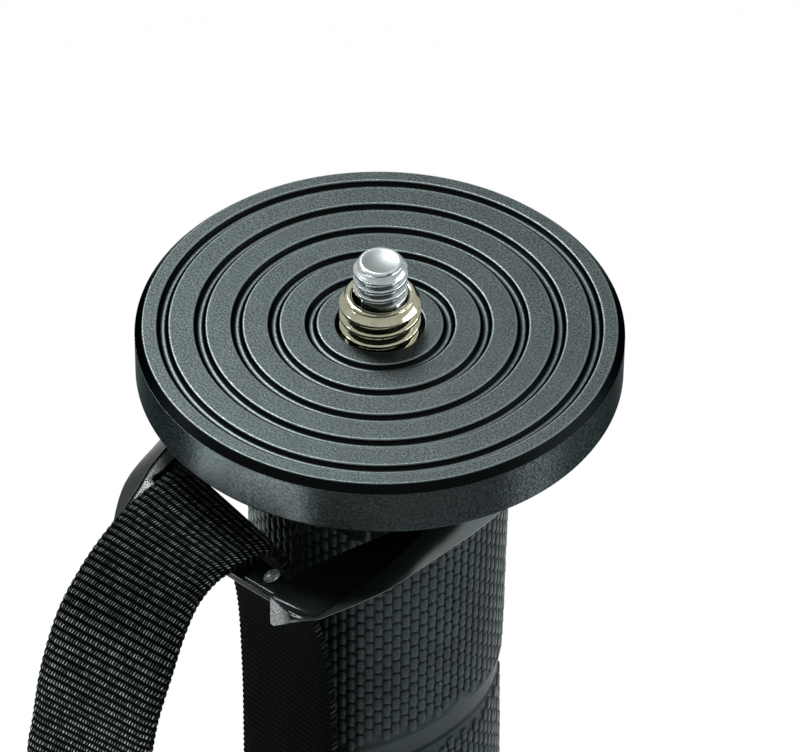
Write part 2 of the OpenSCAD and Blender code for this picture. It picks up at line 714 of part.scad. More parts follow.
module foot_plug() {
    color("#3a3d3e")
    union() {
        rod(lower_bore_r - glue_gap, lower_end_z - cut, lower_end_z + foot_plug_l);
        rod(lower_r, lower_end_z - plug_flange_t, lower_end_z);
        rod(plug_stud_r, lower_end_z - plug_flange_t - plug_stud_l, lower_end_z);
    }
}

module rubber_foot() {
    color("#161819")
    difference() {
        rotate_extrude() union() {
            polygon([[0, sole_z], [foot_d / 2 - foot_round, sole_z], [foot_d / 2, sole_z + foot_round],
                [foot_d / 2, lower_end_z - plug_flange_t], [foot_top_d / 2, lower_end_z + plug_flange_t],
                [foot_top_d / 2, foot_top_z], [0, foot_top_z]]);
            translate([foot_d / 2 - foot_round, sole_z + foot_round]) circle(r = foot_round);
        }
        rod(lower_r + glue_gap, lower_end_z - plug_flange_t, foot_top_z + cut);
        rod(plug_stud_r + glue_gap, lower_end_z - plug_flange_t - plug_stud_l, foot_top_z + cut);
    }
}

camera_plate();
plate_screws();
large_stud();
small_pin();
pin_spring();
spring_plug();
neck_plug();
neck_screws();
strap_yoke();
strap();
grip();
upper_tube();
upper_collar();
upper_collar_screws();
upper_shim();
upper_eye_bolt();
upper_bolt_nut();
upper_lever();
upper_lever_pin();
middle_tube();
middle_guide();
lower_collar();
lower_collar_screws();
lower_shim();
lower_eye_bolt();
lower_bolt_nut();
lower_lever();
lower_lever_pin();
lower_tube();
lower_guide();
foot_plug();
rubber_foot();
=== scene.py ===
"""Camera monopod with a grooved plate, a wrist strap and two flip locks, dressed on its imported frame."""

import logging
import math
from dataclasses import dataclass, field
from enum import Enum
from typing import Any, Callable, Sequence

import bmesh
import bpy
from mathutils import Matrix, Vector


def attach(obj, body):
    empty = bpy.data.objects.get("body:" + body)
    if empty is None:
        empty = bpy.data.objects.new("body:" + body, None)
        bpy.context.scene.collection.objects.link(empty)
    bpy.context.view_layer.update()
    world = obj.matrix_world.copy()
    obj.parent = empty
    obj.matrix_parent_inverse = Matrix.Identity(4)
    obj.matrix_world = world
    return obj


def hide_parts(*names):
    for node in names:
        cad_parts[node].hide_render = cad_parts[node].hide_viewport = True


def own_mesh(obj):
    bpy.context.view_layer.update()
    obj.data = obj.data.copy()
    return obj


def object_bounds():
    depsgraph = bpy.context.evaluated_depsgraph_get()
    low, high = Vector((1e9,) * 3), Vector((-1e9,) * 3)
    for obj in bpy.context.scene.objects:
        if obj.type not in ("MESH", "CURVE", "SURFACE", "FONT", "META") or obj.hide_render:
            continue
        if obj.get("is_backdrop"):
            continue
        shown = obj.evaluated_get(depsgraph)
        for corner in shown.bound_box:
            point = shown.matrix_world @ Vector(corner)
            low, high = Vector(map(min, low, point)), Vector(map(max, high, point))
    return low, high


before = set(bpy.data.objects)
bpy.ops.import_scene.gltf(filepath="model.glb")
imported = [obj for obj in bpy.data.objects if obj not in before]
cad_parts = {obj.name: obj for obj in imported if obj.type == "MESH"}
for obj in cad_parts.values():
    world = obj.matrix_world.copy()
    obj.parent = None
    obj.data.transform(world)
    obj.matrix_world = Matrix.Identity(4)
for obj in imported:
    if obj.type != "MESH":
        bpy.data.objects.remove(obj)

log = logging.getLogger("monopod")

# Lengths in this script are millimetres, and a finished mesh is in metres
MM = 0.001
PHOTO_W = 800
PHOTO_H = 752
TURN = 2 * math.pi

Colour = tuple[float, float, float]
Plan = list[tuple[float, float]]
# Radius, height and edge mark of one point of a turned profile
ProfilePoint = tuple[float, float, float]
Profile = list[ProfilePoint]


class Body(Enum):
    """The moving bodies of the frame."""

    UPPER = "upper_section"
    PIN = "camera_pin"
    UPPER_LEVER = "upper_lock_lever"
    MIDDLE = "middle_section"
    LOWER_LEVER = "lower_lock_lever"
    LOWER = "lower_section"


class Slot(Enum):
    """Names of material slots, one passed with each made piece."""

    PLATE = "plate_black"
    STUD = "stud_nickel"
    PIN = "pin_steel"
    SPRING = "spring_steel"
    YOKE = "yoke_plastic"
    STRAP = "strap_webbing"
    GRIP = "grip_rubber"
    LOCK = "lock_plastic"
    LEVER = "lever_plastic"
    FOOT = "foot_rubber"


# Node building


class Value:
    """A number in a node tree: it wraps a socket, and an expression on it adds Math nodes."""

    def __init__(self, owner: "NodeBuilder", socket: bpy.types.NodeSocket) -> None:
        """Wraps a socket of the owner's tree."""
        self.owner = owner
        self.socket = socket

    def math(self, operation: str, first: Any, second: Any = 0.0) -> "Value":
        """Adds a Math node.

        Args:
            operation: Blender's name of the operation.
            first: the node's first value.
            second: the node's second value.

        Returns:
            The node's result.
        """
        made = self.owner.node("ShaderNodeMath", {"operation": operation}, {0: first, 1: second})
        return Value(self.owner, made.outputs[0])

    def __add__(self, other: Any) -> "Value":
        """self + other"""
        return self.math("ADD", self, other)

    def __radd__(self, other: Any) -> "Value":
        """other + self"""
        return self.math("ADD", other, self)

    def __sub__(self, other: Any) -> "Value":
        """self - other"""
        return self.math("SUBTRACT", self, other)

    def __rsub__(self, other: Any) -> "Value":
        """other - self"""
        return self.math("SUBTRACT", other, self)

    def __mul__(self, other: Any) -> "Value":
        """self * other"""
        return self.math("MULTIPLY", self, other)

    def __rmul__(self, other: Any) -> "Value":
        """other * self"""
        return self.math("MULTIPLY", other, self)

    def __truediv__(self, other: Any) -> "Value":
        """self / other"""
        return self.math("DIVIDE", self, other)

    def __rtruediv__(self, other: Any) -> "Value":
        """other / self"""
        return self.math("DIVIDE", other, self)

    def __pow__(self, other: Any) -> "Value":
        """self ** other"""
        return self.math("POWER", self, other)

    def __rpow__(self, other: Any) -> "Value":
        """other ** self"""
        return self.math("POWER", other, self)

    def __mod__(self, other: Any) -> "Value":
        """self % other"""
        return self.math("FLOORED_MODULO", self, other)

    def __rmod__(self, other: Any) -> "Value":
        """other % self"""
        return self.math("FLOORED_MODULO", other, self)

    def sine(self) -> "Value":
        """Sine of an angle in radians."""
        return self.math("SINE", self)

    def cosine(self) -> "Value":
        """Cosine of an angle in radians."""
        return self.math("COSINE", self)

    def floor(self) -> "Value":
        """The whole number below."""
        return self.math("FLOOR", self)

    def absolute(self) -> "Value":
        """The value without its sign."""
        return self.math("ABSOLUTE", self)

    def most(self, other: Any) -> "Value":
        """The larger of two values."""
        return self.math("MAXIMUM", self, other)

    def rise(self, low: float, high: float) -> "Value":
        """A smooth step from 0 at low to 1 at high.

        Args:
            low: where the step starts.
            high: where the step ends.

        Returns:
            The step's value.
        """
        made = self.owner.node(
            "ShaderNodeMapRange", {"interpolation_type": "SMOOTHSTEP"},
            {"Value": self, "From Min": low, "From Max": high})
        return Value(self.owner, made.outputs[0])


class NodeBuilder:
    """Adds nodes to one node tree."""

    def __init__(self, tree: bpy.types.NodeTree) -> None:
        """Starts on a tree."""
        self.tree = tree

    def feed(self, socket: bpy.types.NodeSocket, value: Any) -> None:
        """Links a value to a socket, or sets the socket to it.

        Args:
            socket: the input socket.
            value: a Value, an output socket, or a plain number, colour or name.
        """
        if isinstance(value, Value):
            self.tree.links.new(value.socket, socket)
        elif isinstance(value, bpy.types.NodeSocket):
            self.tree.links.new(value, socket)
        elif socket.type == "RGBA" and len(value) == 3:
            socket.default_value = (*value, 1.0)
        else:
            socket.default_value = value

    def node(self, kind: str, settings: dict[str, Any], sockets: dict[Any, Any]) -> bpy.types.Node:
        """Adds a node.

        Args:
            kind: Blender's name of the node type.
            settings: the node's own settings, which are set first.
            sockets: values or links by the input's name or number.

        Returns:
            The node.
        """
        made = self.tree.nodes.new(kind)
        for key, value in settings.items():
            setattr(made, key, value)
        for key, value in sockets.items():
            self.feed(made.inputs[key], value)
        return made

    def vector(self, x: Any, y: Any, z: Any) -> bpy.types.NodeSocket:
        """A vector of three values."""
        return self.node("ShaderNodeCombineXYZ", {}, {0: x, 1: y, 2: z}).outputs[0]


class Surface(NodeBuilder):
    """A material in the making, with its shader."""

    def __init__(self, name: str) -> None:
        """Makes an empty material with one shader.

        Args:
            name: the material's name.
        """
        self.material = bpy.data.materials.new(name)
        self.material.use_nodes = True
        super().__init__(self.material.node_tree)
        self.tree.nodes.clear()
        self.output = self.tree.nodes.new("ShaderNodeOutputMaterial")
        self.shader = self.tree.nodes.new("ShaderNodeBsdfPrincipled")
        self.tree.links.new(self.shader.outputs[0], self.output.inputs["Surface"])

    def place(self, stretch: tuple[float, float, float] = (1.0, 1.0, 1.0)) -> bpy.types.NodeSocket:
        """The object's coordinates in millimetres.

        Args:
            stretch: factors along X, Y and Z.

        Returns:
            A vector socket.
        """
        seat = self.node("ShaderNodeTexCoord", {}, {})
        scale = tuple(factor / MM for factor in stretch)
        mapped = self.node("ShaderNodeMapping", {}, {"Vector": seat.outputs["Object"], "Scale": scale})
        return mapped.outputs["Vector"]

    def parts(self, vector: bpy.types.NodeSocket) -> tuple[Value, Value, Value]:
        """The three numbers of a vector."""
        split = self.node("ShaderNodeSeparateXYZ", {}, {0: vector})
        return tuple(Value(self, socket) for socket in split.outputs)

    def mark(self, name: str) -> Value:
        """A number that the mesh carries as an attribute."""
        made = self.node("ShaderNodeAttribute", {"attribute_name": name}, {})
        return Value(self, made.outputs["Fac"])

    def grain(self, vector: bpy.types.NodeSocket, scale: float, detail: float = 2.0,
              rough: float = 0.5) -> Value:
        """Noise of a given scale.

        Args:
            vector: where the noise is read.
            scale: cells in a unit of the vector.
            detail: octaves.
            rough: share of each finer octave.

        Returns:
            A value around 0.5.
        """
        made = self.node("ShaderNodeTexNoise", {},
                         {"Vector": vector, "Scale": scale, "Detail": detail, "Roughness": rough})
        return Value(self, made.outputs["Fac"])

    def cells(self, vector: bpy.types.NodeSocket, scale: float) -> tuple[Value, Value]:
        """Random cells.

        Args:
            vector: where the cells are read.
            scale: cells in a unit of the vector.

        Returns:
            Distance to the nearest cell point, and a random number of that cell.
        """
        made = self.node("ShaderNodeTexVoronoi", {}, {"Vector": vector, "Scale": scale})
        tone = self.node("ShaderNodeSeparateColor", {}, {0: made.outputs["Color"]})
        return Value(self, made.outputs["Distance"]), Value(self, tone.outputs[0])

    def blend(self, share: Any, first: Any, second: Any) -> bpy.types.NodeSocket:
        """A colour between two colours.

        Args:
            share: 0 gives the first, 1 the second.
            first: a colour or a colour socket.
            second: a colour or a colour socket.

        Returns:
            The colour socket.
        """
        # Inputs 6 and 7 and output 2 are the node's colour sockets
        made = self.node("ShaderNodeMix", {"data_type": "RGBA"}, {0: share, 6: first, 7: second})
        return made.outputs[2]

    def relief(self, height: Value, depth: float, strength: Any = 1.0) -> None:
        """Gives the shader a bump.

        Args:
            height: the height, from 0 to 1.
            depth: millimetres that a height of 1 stands up.
            strength: share of the bump.
        """
        made = self.node("ShaderNodeBump", {}, {
            "Height": height, "Distance": depth * MM, "Strength": strength})
        self.feed(self.shader.inputs["Normal"], made.outputs["Normal"])

    def finish(self, **sockets: Any) -> bpy.types.Material:
        """Sets the shader's sockets.

        Args:
            sockets: values or links by the socket's name, with _ for a space.

        Returns:
            The material.
        """
        for key, value in sockets.items():
            self.feed(self.shader.inputs[key.replace("_", " ")], value)
        return self.material


# Finishes


def shade(colour: Colour, factor: float) -> Colour:
    """A colour made lighter or darker."""
    return tuple(min(1.0, part * factor) for part in colour)


@dataclass(frozen=True)
class BlastedAlloy:
    """Black anodised alloy with a blasted grain and bright flecks; the hollow mark paints shade into its
    grooves, bevel and wall, and its edges are lightened, partly as wear and partly as painted highlights.
    """

    name: str
    colour: Colour
    hollow: Colour
    roughness: float = 0.38
    hollow_roughness: float = 0.3
    grain_size: float = 0.27
    edge_tint: Colour = (0.3, 0.34, 0.34)

    def build(self) -> bpy.types.Material:
        """Makes the material.

        Returns:
            The finished material.
        """
        made = Surface(self.name)
        place = made.place()
        coarse = made.grain(place, 1 / self.grain_size, 2.0, 0.6)
        fine = made.grain(place, 2.2 / self.grain_size, 1.0)
        cloud = made.grain(place, 0.22, 3.0)
        distance, luck = made.cells(place, 1.6 / self.grain_size)
        fleck = luck.rise(0.86, 0.97) * (1 - distance.rise(0.2, 0.55))
        hollow = made.mark("hollow")
        tone = made.blend(cloud.rise(0.3, 0.7), shade(self.colour, 0.92), shade(self.colour, 1.08))
        tone = made.blend(coarse.rise(0.36, 0.64), shade(self.colour, 0.5), tone)
        tone = made.blend(fleck * 0.22, tone, shade(self.colour, 3.0))
        # Edges are painted lighter: partly wear, partly painted highlights on the plate's lips and on a line
        # in each groove
        tone = made.blend(made.mark("edge") * 0.6, tone, shade(self.colour, 2.6))
        # The hollow mark paints shade: this colour darkens the plate's grooves, bevel and wall
        tone = made.blend(hollow, tone, self.hollow)
        made.relief(coarse * 0.7 + fine * 0.3, 0.045, 0.7 - hollow * 0.5)
        open_rough = self.roughness + (coarse - 0.5) * 0.25 - fleck * 0.16 + (cloud - 0.5) * 0.05
        rough = open_rough * (1 - hollow) + hollow * (self.hollow_roughness + (fine - 0.5) * 0.1)
        return made.finish(Base_Color=tone, Roughness=rough, Metallic=1.0, Specular_Tint=self.edge_tint)


@dataclass(frozen=True)
class TurnedAlloy:
    """Black anodised alloy with fine tool rings round the axis, which draw light out up and down."""

    name: str
    colour: Colour
    roughness: float = 0.33
    stretch: float = 0.95
    edge_tint: Colour = (0.3, 0.34, 0.34)

    def build(self) -> bpy.types.Material:
        """Makes the material.

        Returns:
            The finished material.
        """
        made = Surface(self.name)
        place = made.place()
        grain = made.grain(place, 3.6, 2.0, 0.6)
        rings = made.grain(made.place((0.05, 0.05, 9.0)), 1.0, 3.0)
        cloud = made.grain(place, 0.12, 3.0)
        tone = made.blend(grain.rise(0.36, 0.66), shade(self.colour, 0.45), shade(self.colour, 1.3))
        tone = made.blend(cloud.rise(0.3, 0.7) * 0.4, tone, shade(self.colour, 0.8))
        made.relief(grain * 0.6 + rings * 0.4, 0.04, 0.8)
        rough = self.roughness + (grain - 0.5) * 0.2 + (cloud - 0.5) * 0.06
        return made.finish(Base_Color=tone, Roughness=rough, Metallic=1.0, Specular_Tint=self.edge_tint,
                           Anisotropic=self.stretch, Anisotropic_Rotation=0.25)


@dataclass(frozen=True)
class TurnedMetal:
    """Bright turned or plated metal, with fine tool rings and a few hazy patches."""

    name: str
    colour: Colour
    roughness: float = 0.2
    ring_pitch: float = 0.11

    def build(self) -> bpy.types.Material:
        """Makes the material.

        Returns:
            The finished material.
        """
        made = Surface(self.name)
        place = made.place()
        rings = made.grain(made.place((0.6, 0.6, 1 / self.ring_pitch)), 1.0, 2.0)
        haze = made.grain(place, 0.7, 3.0)
        speck = made.grain(place, 7.0, 2.0)
        tone = made.blend(haze.rise(0.35, 0.7), shade(self.colour, 0.86), shade(self.colour, 1.05))
        tone = made.blend(made.mark("edge") * 0.4, tone, shade(self.colour, 1.2))
        tone = made.blend(speck.rise(0.68, 0.8) * 0.35, tone, shade(self.colour, 0.55))
        # The hollow mark paints shade on the pin's dished top, which it also makes rougher
        painted_top_shade = made.mark("hollow")
        tone = made.blend(painted_top_shade, tone, shade(self.colour, 0.42))
        made.relief(rings * 0.8 + speck * 0.2, 0.006, 0.5)
        rough = self.roughness + (haze - 0.5) * 0.16 + (rings - 0.5) * 0.1 + painted_top_shade * 0.14
        return made.finish(Base_Color=tone, Roughness=rough, Metallic=1.0)


@dataclass(frozen=True)
class MouldedPlastic:
    """Moulded plastic, spark-eroded where the mesh's mark says so and smooth elsewhere; the mark also
    lightens the surface and adds bright metal flecks, which on the yoke are painted light.
    """

    name: str
    colour: Colour
    roughness: float = 0.34
    grain_size: float = 0.26
    depth: float = 0.05
    gloss: float = 0.28
    tint: Colour = (0.84, 1.0, 1.0)
    sparkle: float = 0.0
    sparkle_tone: Colour = (0.58, 0.64, 0.64)

    def build(self) -> bpy.types.Material:
        """Makes the material.

        Returns:
            The finished material.
        """
        made = Surface(self.name)
        place = made.place()
        grained = made.mark("grained")
        coarse = made.grain(place, 1 / self.grain_size, 3.0, 0.6)
        fine = made.grain(place, 4 / self.grain_size, 1.0)
        cloud = made.grain(place, 0.12, 3.0)
        tone = made.blend(cloud.rise(0.3, 0.7), shade(self.colour, 0.85), shade(self.colour, 1.15))
        # On the yoke the mark lies where light falls, so this lightening and sparkle are painted light
        fleck = grained.rise(0.2, 1.0) * coarse.rise(0.38, 0.72)
        tone = made.blend(fleck * 0.6, tone, shade(self.colour, 2.4))
        if self.sparkle > 0:
            tone = made.blend(fleck, tone, self.sparkle_tone)
            made.finish(Metallic=fleck * self.sparkle)
        scuff = made.mark("edge") * made.grain(place, 0.9, 4.0).rise(0.5, 0.7)
        tone = made.blend(scuff * 0.4, tone, shade(self.colour, 3.0))
        height = grained * coarse + (1 - grained) * fine * 0.08
        made.relief(height, self.depth, 0.6)
        rough = self.roughness + grained * (coarse * 0.35 - 0.06) + (cloud - 0.5) * 0.08
        return made.finish(Base_Color=tone, Roughness=rough, Specular_IOR_Level=self.gloss,
                           Specular_Tint=self.tint)


@dataclass(frozen=True)
class MouldedRubber:
    """Dull rubber with a fine skin, rubbed a little lighter on its raised parts."""

    name: str
    colour: Colour
    roughness: float = 0.5
    gloss: float = 0.05
    tint: Colour = (0.8, 1.0, 1.0)

    def build(self) -> bpy.types.Material:
        """Makes the material.

        Returns:
            The finished material.
        """
        made = Surface(self.name)
        place = made.place()
        skin = made.grain(place, 6.0, 3.0, 0.6)
        cloud = made.grain(place, 0.16, 4.0)
        top = made.mark("edge")
        tone = made.blend(cloud.rise(0.3, 0.7), shade(self.colour, 0.8), shade(self.colour, 1.2))
        tone = made.blend(top * skin.rise(0.3, 0.7) * 0.5, tone, shade(self.colour, 1.6))
        made.relief(skin, 0.02, 0.5)
        rough = self.roughness + (skin - 0.5) * 0.2 - top * 0.1 + (cloud - 0.5) * 0.12
        return made.finish(Base_Color=tone, Roughness=rough, Specular_IOR_Level=self.gloss,
                           Specular_Tint=self.tint)


@dataclass(frozen=True)
class AnodisedTube:
    """Drawn and anodised tube, with faint lengthwise drawing lines and sliding marks."""

    name: str
    colour: Colour
    roughness: float = 0.34
    edge_tint: Colour = (0.3, 0.32, 0.33)

    def build(self) -> bpy.types.Material:
        """Makes the material.

        Returns:
            The finished material.
        """
        made = Surface(self.name)
        drawn = made.grain(made.place((2.2, 2.2, 0.012)), 1.0, 3.0, 0.6)
        fine = made.grain(made.place((1.0, 1.0, 0.6)), 7.0, 2.0)
        cloud = made.grain(made.place(), 0.03, 3.0)
        tone = made.blend(cloud.rise(0.3, 0.7), shade(self.colour, 0.85), shade(self.colour, 1.15))
        tone = made.blend(drawn.rise(0.45, 0.75) * 0.5, tone, shade(self.colour, 1.7))
        made.relief(drawn * 0.6 + fine * 0.4, 0.012, 0.5)
        rough = self.roughness + (drawn - 0.5) * 0.2 + (fine - 0.5) * 0.12
        return made.finish(Base_Color=tone, Roughness=rough, Metallic=1.0, Specular_Tint=self.edge_tint)


@dataclass(frozen=True)
class Webbing:
    """Woven nylon webbing: slanted yarn floats along each crosswise rib, read from the mesh's UV in mm; the
    floats' light colour is a painted sheen, and the inside of the loop is painted shade.
    """

    name: str
    colour: Colour
    gap: Colour
    rib_pitch: float
    yarn_pitch: float = 0.37
    slant: float = 0.7
    roughness: float = 0.55
    gloss: float = 0.003
    inner_painted_shade: float = 0.985

    def build(self) -> bpy.types.Material:
        """Makes the material.

        Returns:
            The finished material.
        """
        made = Surface(self.name)
        seat = made.node("ShaderNodeUVMap", {"uv_map": "weave"}, {})
        weave = seat.outputs["UV"]
        across, along, _ = made.parts(weave)
        wander = made.grain(weave, 0.8, 2.0)
        rib = along / self.rib_pitch + (wander - 0.5) * 0.12
        step = rib.floor()
        inside = rib - step
        leaning = across / self.yarn_pitch + (inside - 0.5) * self.slant
        yarn = leaning + (step % 2.0) * 0.5 + (wander - 0.5) * 0.8
        number = yarn.floor()
        crest = 1 - ((yarn - number) * 2 - 1).absolute()
        hump = (inside * math.pi).sine()
        filament = made.grain(weave, 11.0, 2.0, 0.6)
        patch = made.grain(weave, 0.13, 3.0)
        luck = made.grain(made.vector(number * 0.73, step * 1.37, 0.0), 1.0, 0.0)
        thread = crest.rise(0.3, 0.9) * hump.rise(0.5, 0.98)
        # The yarn floats are painted light, as a sheen over near-black gaps
        painted_sheen = thread * (filament.rise(0.3, 0.7) * 0.5 + luck.rise(0.35, 0.7) * 0.8) * (0.6 + patch * 0.6)
        # The inside of the loop is painted shade, near black, and the webbing's sides are darkened less
        outer = 1 - made.mark("inner_side") * self.inner_painted_shade
        tone = made.blend(painted_sheen * outer, self.gap, self.colour)
        made.relief(thread * 0.7 + hump * 0.3 + (filament - 0.5) * 0.2, 0.14, 0.9)
        rough = self.roughness - thread * 0.12 + (filament - 0.5) * 0.2
        return made.finish(Base_Color=tone, Roughness=rough, Specular_IOR_Level=self.gloss)


# Mesh making


def soften(corners: Sequence[tuple[float, float, float]], steps: int = 5, closed: bool = True) -> Profile:
    """Rounds the corners of an outline.

    Args:
        corners: two coordinates and the rounding radius of each corner.
        steps: straight steps in each rounded corner.
        closed: whether the outline returns to its first corner.

    Returns:
        The outline's points, with a mark of 1 on rounded corners.
    """
    points: Profile = []
    count = len(corners)
    for index, (x, y, radius) in enumerate(corners):
        here = Vector((x, y))
        if radius <= 0 or (not closed and index in (0, count - 1)):
            points.append((x, y, 0.0))
            continue
        before = (Vector(corners[index - 1][:2]) - here).normalized()
        after = (Vector(corners[(index + 1) % count][:2]) - here).normalized()
        half = before.angle(after) / 2
        reach = radius / math.tan(half)
        middle = here + (before + after).normalized() * radius / math.sin(half)
        start = here + before * reach - middle
        end = here + after * reach - middle
        sweep = start.angle_signed(end)
        support = here + before * (reach + radius * 0.4)
        points.append((support.x, support.y, 0.0))
        for step in range(steps + 1):
            spot = Matrix.Rotation(-sweep * step / steps, 2) @ start + middle
            points.append((spot.x, spot.y, 1.0))
        support = here + after * (reach + radius * 0.4)
        points.append((support.x, support.y, 0.0))
    return points


def to_mesh(name: str, bm: bmesh.types.BMesh, sharp: float = 40.0) -> bpy.types.Mesh:
    """Turns a bmesh in millimetres into a smooth-shaded mesh in metres.

    Args:
        name: the mesh's name.
        bm: the bmesh, which is freed.
        sharp: edges bent by more than this many degrees stay sharp.

    Returns:
        The mesh.
    """
    bmesh.ops.remove_doubles(bm, verts=bm.verts, dist=1e-5)
    bmesh.ops.recalc_face_normals(bm, faces=bm.faces)
    bmesh.ops.scale(bm, vec=(MM, MM, MM), verts=bm.verts)
    mesh = bpy.data.meshes.new(name)
    bm.to_mesh(mesh)
    bm.free()
    mesh.shade_smooth()
    mesh.set_sharp_from_angle(angle=math.radians(sharp))
    return mesh


def turned(name: str, station: Callable[[float], Profile], segments: int = 192, closed: bool = True,
           sharp: float = 40.0, hollow: Callable[[float, float], float] | None = None) -> bpy.types.Mesh:
    """Makes a turned surface.

    Args:
        name: the mesh's name.
        station: gives the profile at an angle; every profile has as many points.
        segments: steps around the axis.
        closed: whether the profile returns to its first point.
        sharp: edges bent by more than this many degrees stay sharp.
        hollow: gives the hollow mark, which paints shade, at a radius and a height.

    Returns:
        The mesh.
    """
    bm = bmesh.new()
    edge_mark = bm.verts.layers.float.new("edge")
    painted_shade_mark = bm.verts.layers.float.new("hollow")
    rings = []
    for index in range(segments):
        angle = TURN * index / segments
        ring = []
        for radius, height, mark in station(angle):
            vert = bm.verts.new((radius * math.cos(angle), radius * math.sin(angle), height))
            vert[edge_mark] = mark
            vert[painted_shade_mark] = hollow(radius, height) if hollow else 0.0
            ring.append(vert)
        rings.append(ring)
    last = len(rings[0]) if closed else len(rings[0]) - 1
    for index, ring in enumerate(rings):
        beside = rings[(index + 1) % segments]
        for k in range(last):
            n = (k + 1) % len(ring)
            bm.faces.new((ring[k], ring[n], beside[n], beside[k]))
    return to_mesh(name, bm, sharp)


def prism(bm: bmesh.types.BMesh, outline: Plan, low: float, high: float) -> None:
    """Adds an upright prism.

    Args:
        bm: the bmesh that it goes into.
        outline: its outline in plan, anticlockwise.
        low: height of its lower face.
        high: height of its upper face.
    """
    bottom = [bm.verts.new((x, y, low)) for x, y in outline]
    top = [bm.verts.new((x, y, high)) for x, y in outline]
    bm.faces.new(list(reversed(bottom)))
    bm.faces.new(top)
    for index in range(len(outline)):
        n = (index + 1) % len(outline)
        bm.faces.new((bottom[index], bottom[n], top[n], top[index]))


def bevelled(mesh: bpy.types.Mesh, width: float, steps: int = 3, limit: float = 28.0,
             clamped: bool = True) -> bpy.types.Mesh:
    """Rounds the sharp edges of a mesh.

    Args:
        mesh: the mesh, which is used up.
        width: width of the rounding in millimetres.
        steps: steps across the rounding.
        limit: edges bent by more than this many degrees are rounded.
        clamped: whether short edges hold the width back everywhere.

    Returns:
        A new mesh.
    """
    holder = bpy.data.objects.new(mesh.name + ".holder", mesh)
    bpy.context.scene.collection.objects.link(holder)
    made = holder.modifiers.new("Rounding", "BEVEL")
    made.width = width * MM
    made.segments = steps
    made.limit_method = "ANGLE"
    made.angle_limit = math.radians(limit)
    made.harden_normals = True
    made.use_clamp_overlap = clamped
    return settled(holder, mesh.name)


def spline(values: Sequence[float], place: float, closed: bool) -> float:
    """A smooth curve through values.

    Args:
        values: one number at each knot.
        place: knot number, with a fraction between knots.
        closed: whether the last knot leads on to the first.

    Returns:
        The number there.
    """
    count = len(values)
    index = math.floor(place)
    if not closed:
        index = min(index, count - 2)
    t = place - index
    picks = [index + k for k in (-1, 0, 1, 2)]
    if closed:
        a, b, c, d = (values[pick % count] for pick in picks)
    else:
        a, b, c, d = (values[min(max(pick, 0), count - 1)] for pick in picks)
    square = (2 * a - 5 * b + 4 * c - d) * t * t
    cube = (3 * b - a - 3 * c + d) * t ** 3
    return 0.5 * (2 * b + (c - a) * t + square + cube)


def settled(holder: bpy.types.Object, name: str) -> bpy.types.Mesh:
    """Turns an object with modifiers into a plain mesh and removes the object.

    Args:
        holder: the object.
        name: the mesh's name.

    Returns:
        The plain mesh.
    """
    graph = bpy.context.evaluated_depsgraph_get()
    graph.update()
    mesh = bpy.data.meshes.new_from_object(holder.evaluated_get(graph))
    before = holder.data
    holder.modifiers.clear()
    bpy.data.objects.remove(holder)
    bpy.data.meshes.remove(before)
    mesh.name = name
    return mesh


def mark_faces(mesh: bpy.types.Mesh, name: str, rule: Callable[[Vector, Vector], float]) -> None:
    """Gives each face a mark.

    Args:
        mesh: the mesh.
        name: the mark's name.
        rule: gives the mark from a face's direction and its centre in millimetres.
    """
    layer = mesh.attributes.get(name) or mesh.attributes.new(name, "FLOAT", "FACE")
    for face in mesh.polygons:
        layer.data[face.index].value = rule(face.normal, face.center / MM)


def joined(name: str, meshes: Sequence[bpy.types.Mesh]) -> bpy.types.Mesh:
    """Puts several meshes into one.

    Args:
        name: the new mesh's name.
        meshes: the meshes, which are used up.

    Returns:
        The one mesh.
    """
    holders = [bpy.data.objects.new(mesh.name, mesh) for mesh in meshes]
    for holder in holders:
        bpy.context.scene.collection.objects.link(holder)
    with bpy.context.temp_override(active_object=holders[0], selected_editable_objects=holders):
        bpy.ops.object.join()
    mesh = holders[0].data
    bpy.data.objects.remove(holders[0])
    mesh.name = name
    return mesh


def softened_copy(node: str, name: str, width: float) -> bpy.types.Mesh:
    """A copy of a CAD node's mesh with its doubles merged and its sharp edges rounded.

    Args:
        node: the CAD node.
        name: the new mesh's name.
        width: width of the rounding in millimetres.

    Returns:
        The new mesh.
    """
    bm = bmesh.new()
    bm.from_mesh(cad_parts[node].data)
    bmesh.ops.remove_doubles(bm, verts=bm.verts, dist=1e-6)
    bmesh.ops.dissolve_limit(bm, angle_limit=math.radians(2), verts=bm.verts, edges=bm.edges)
    bmesh.ops.scale(bm, vec=(1 / MM, 1 / MM, 1 / MM), verts=bm.verts)
    return bevelled(to_mesh(name, bm), width, steps=2, limit=40.0, clamped=False)


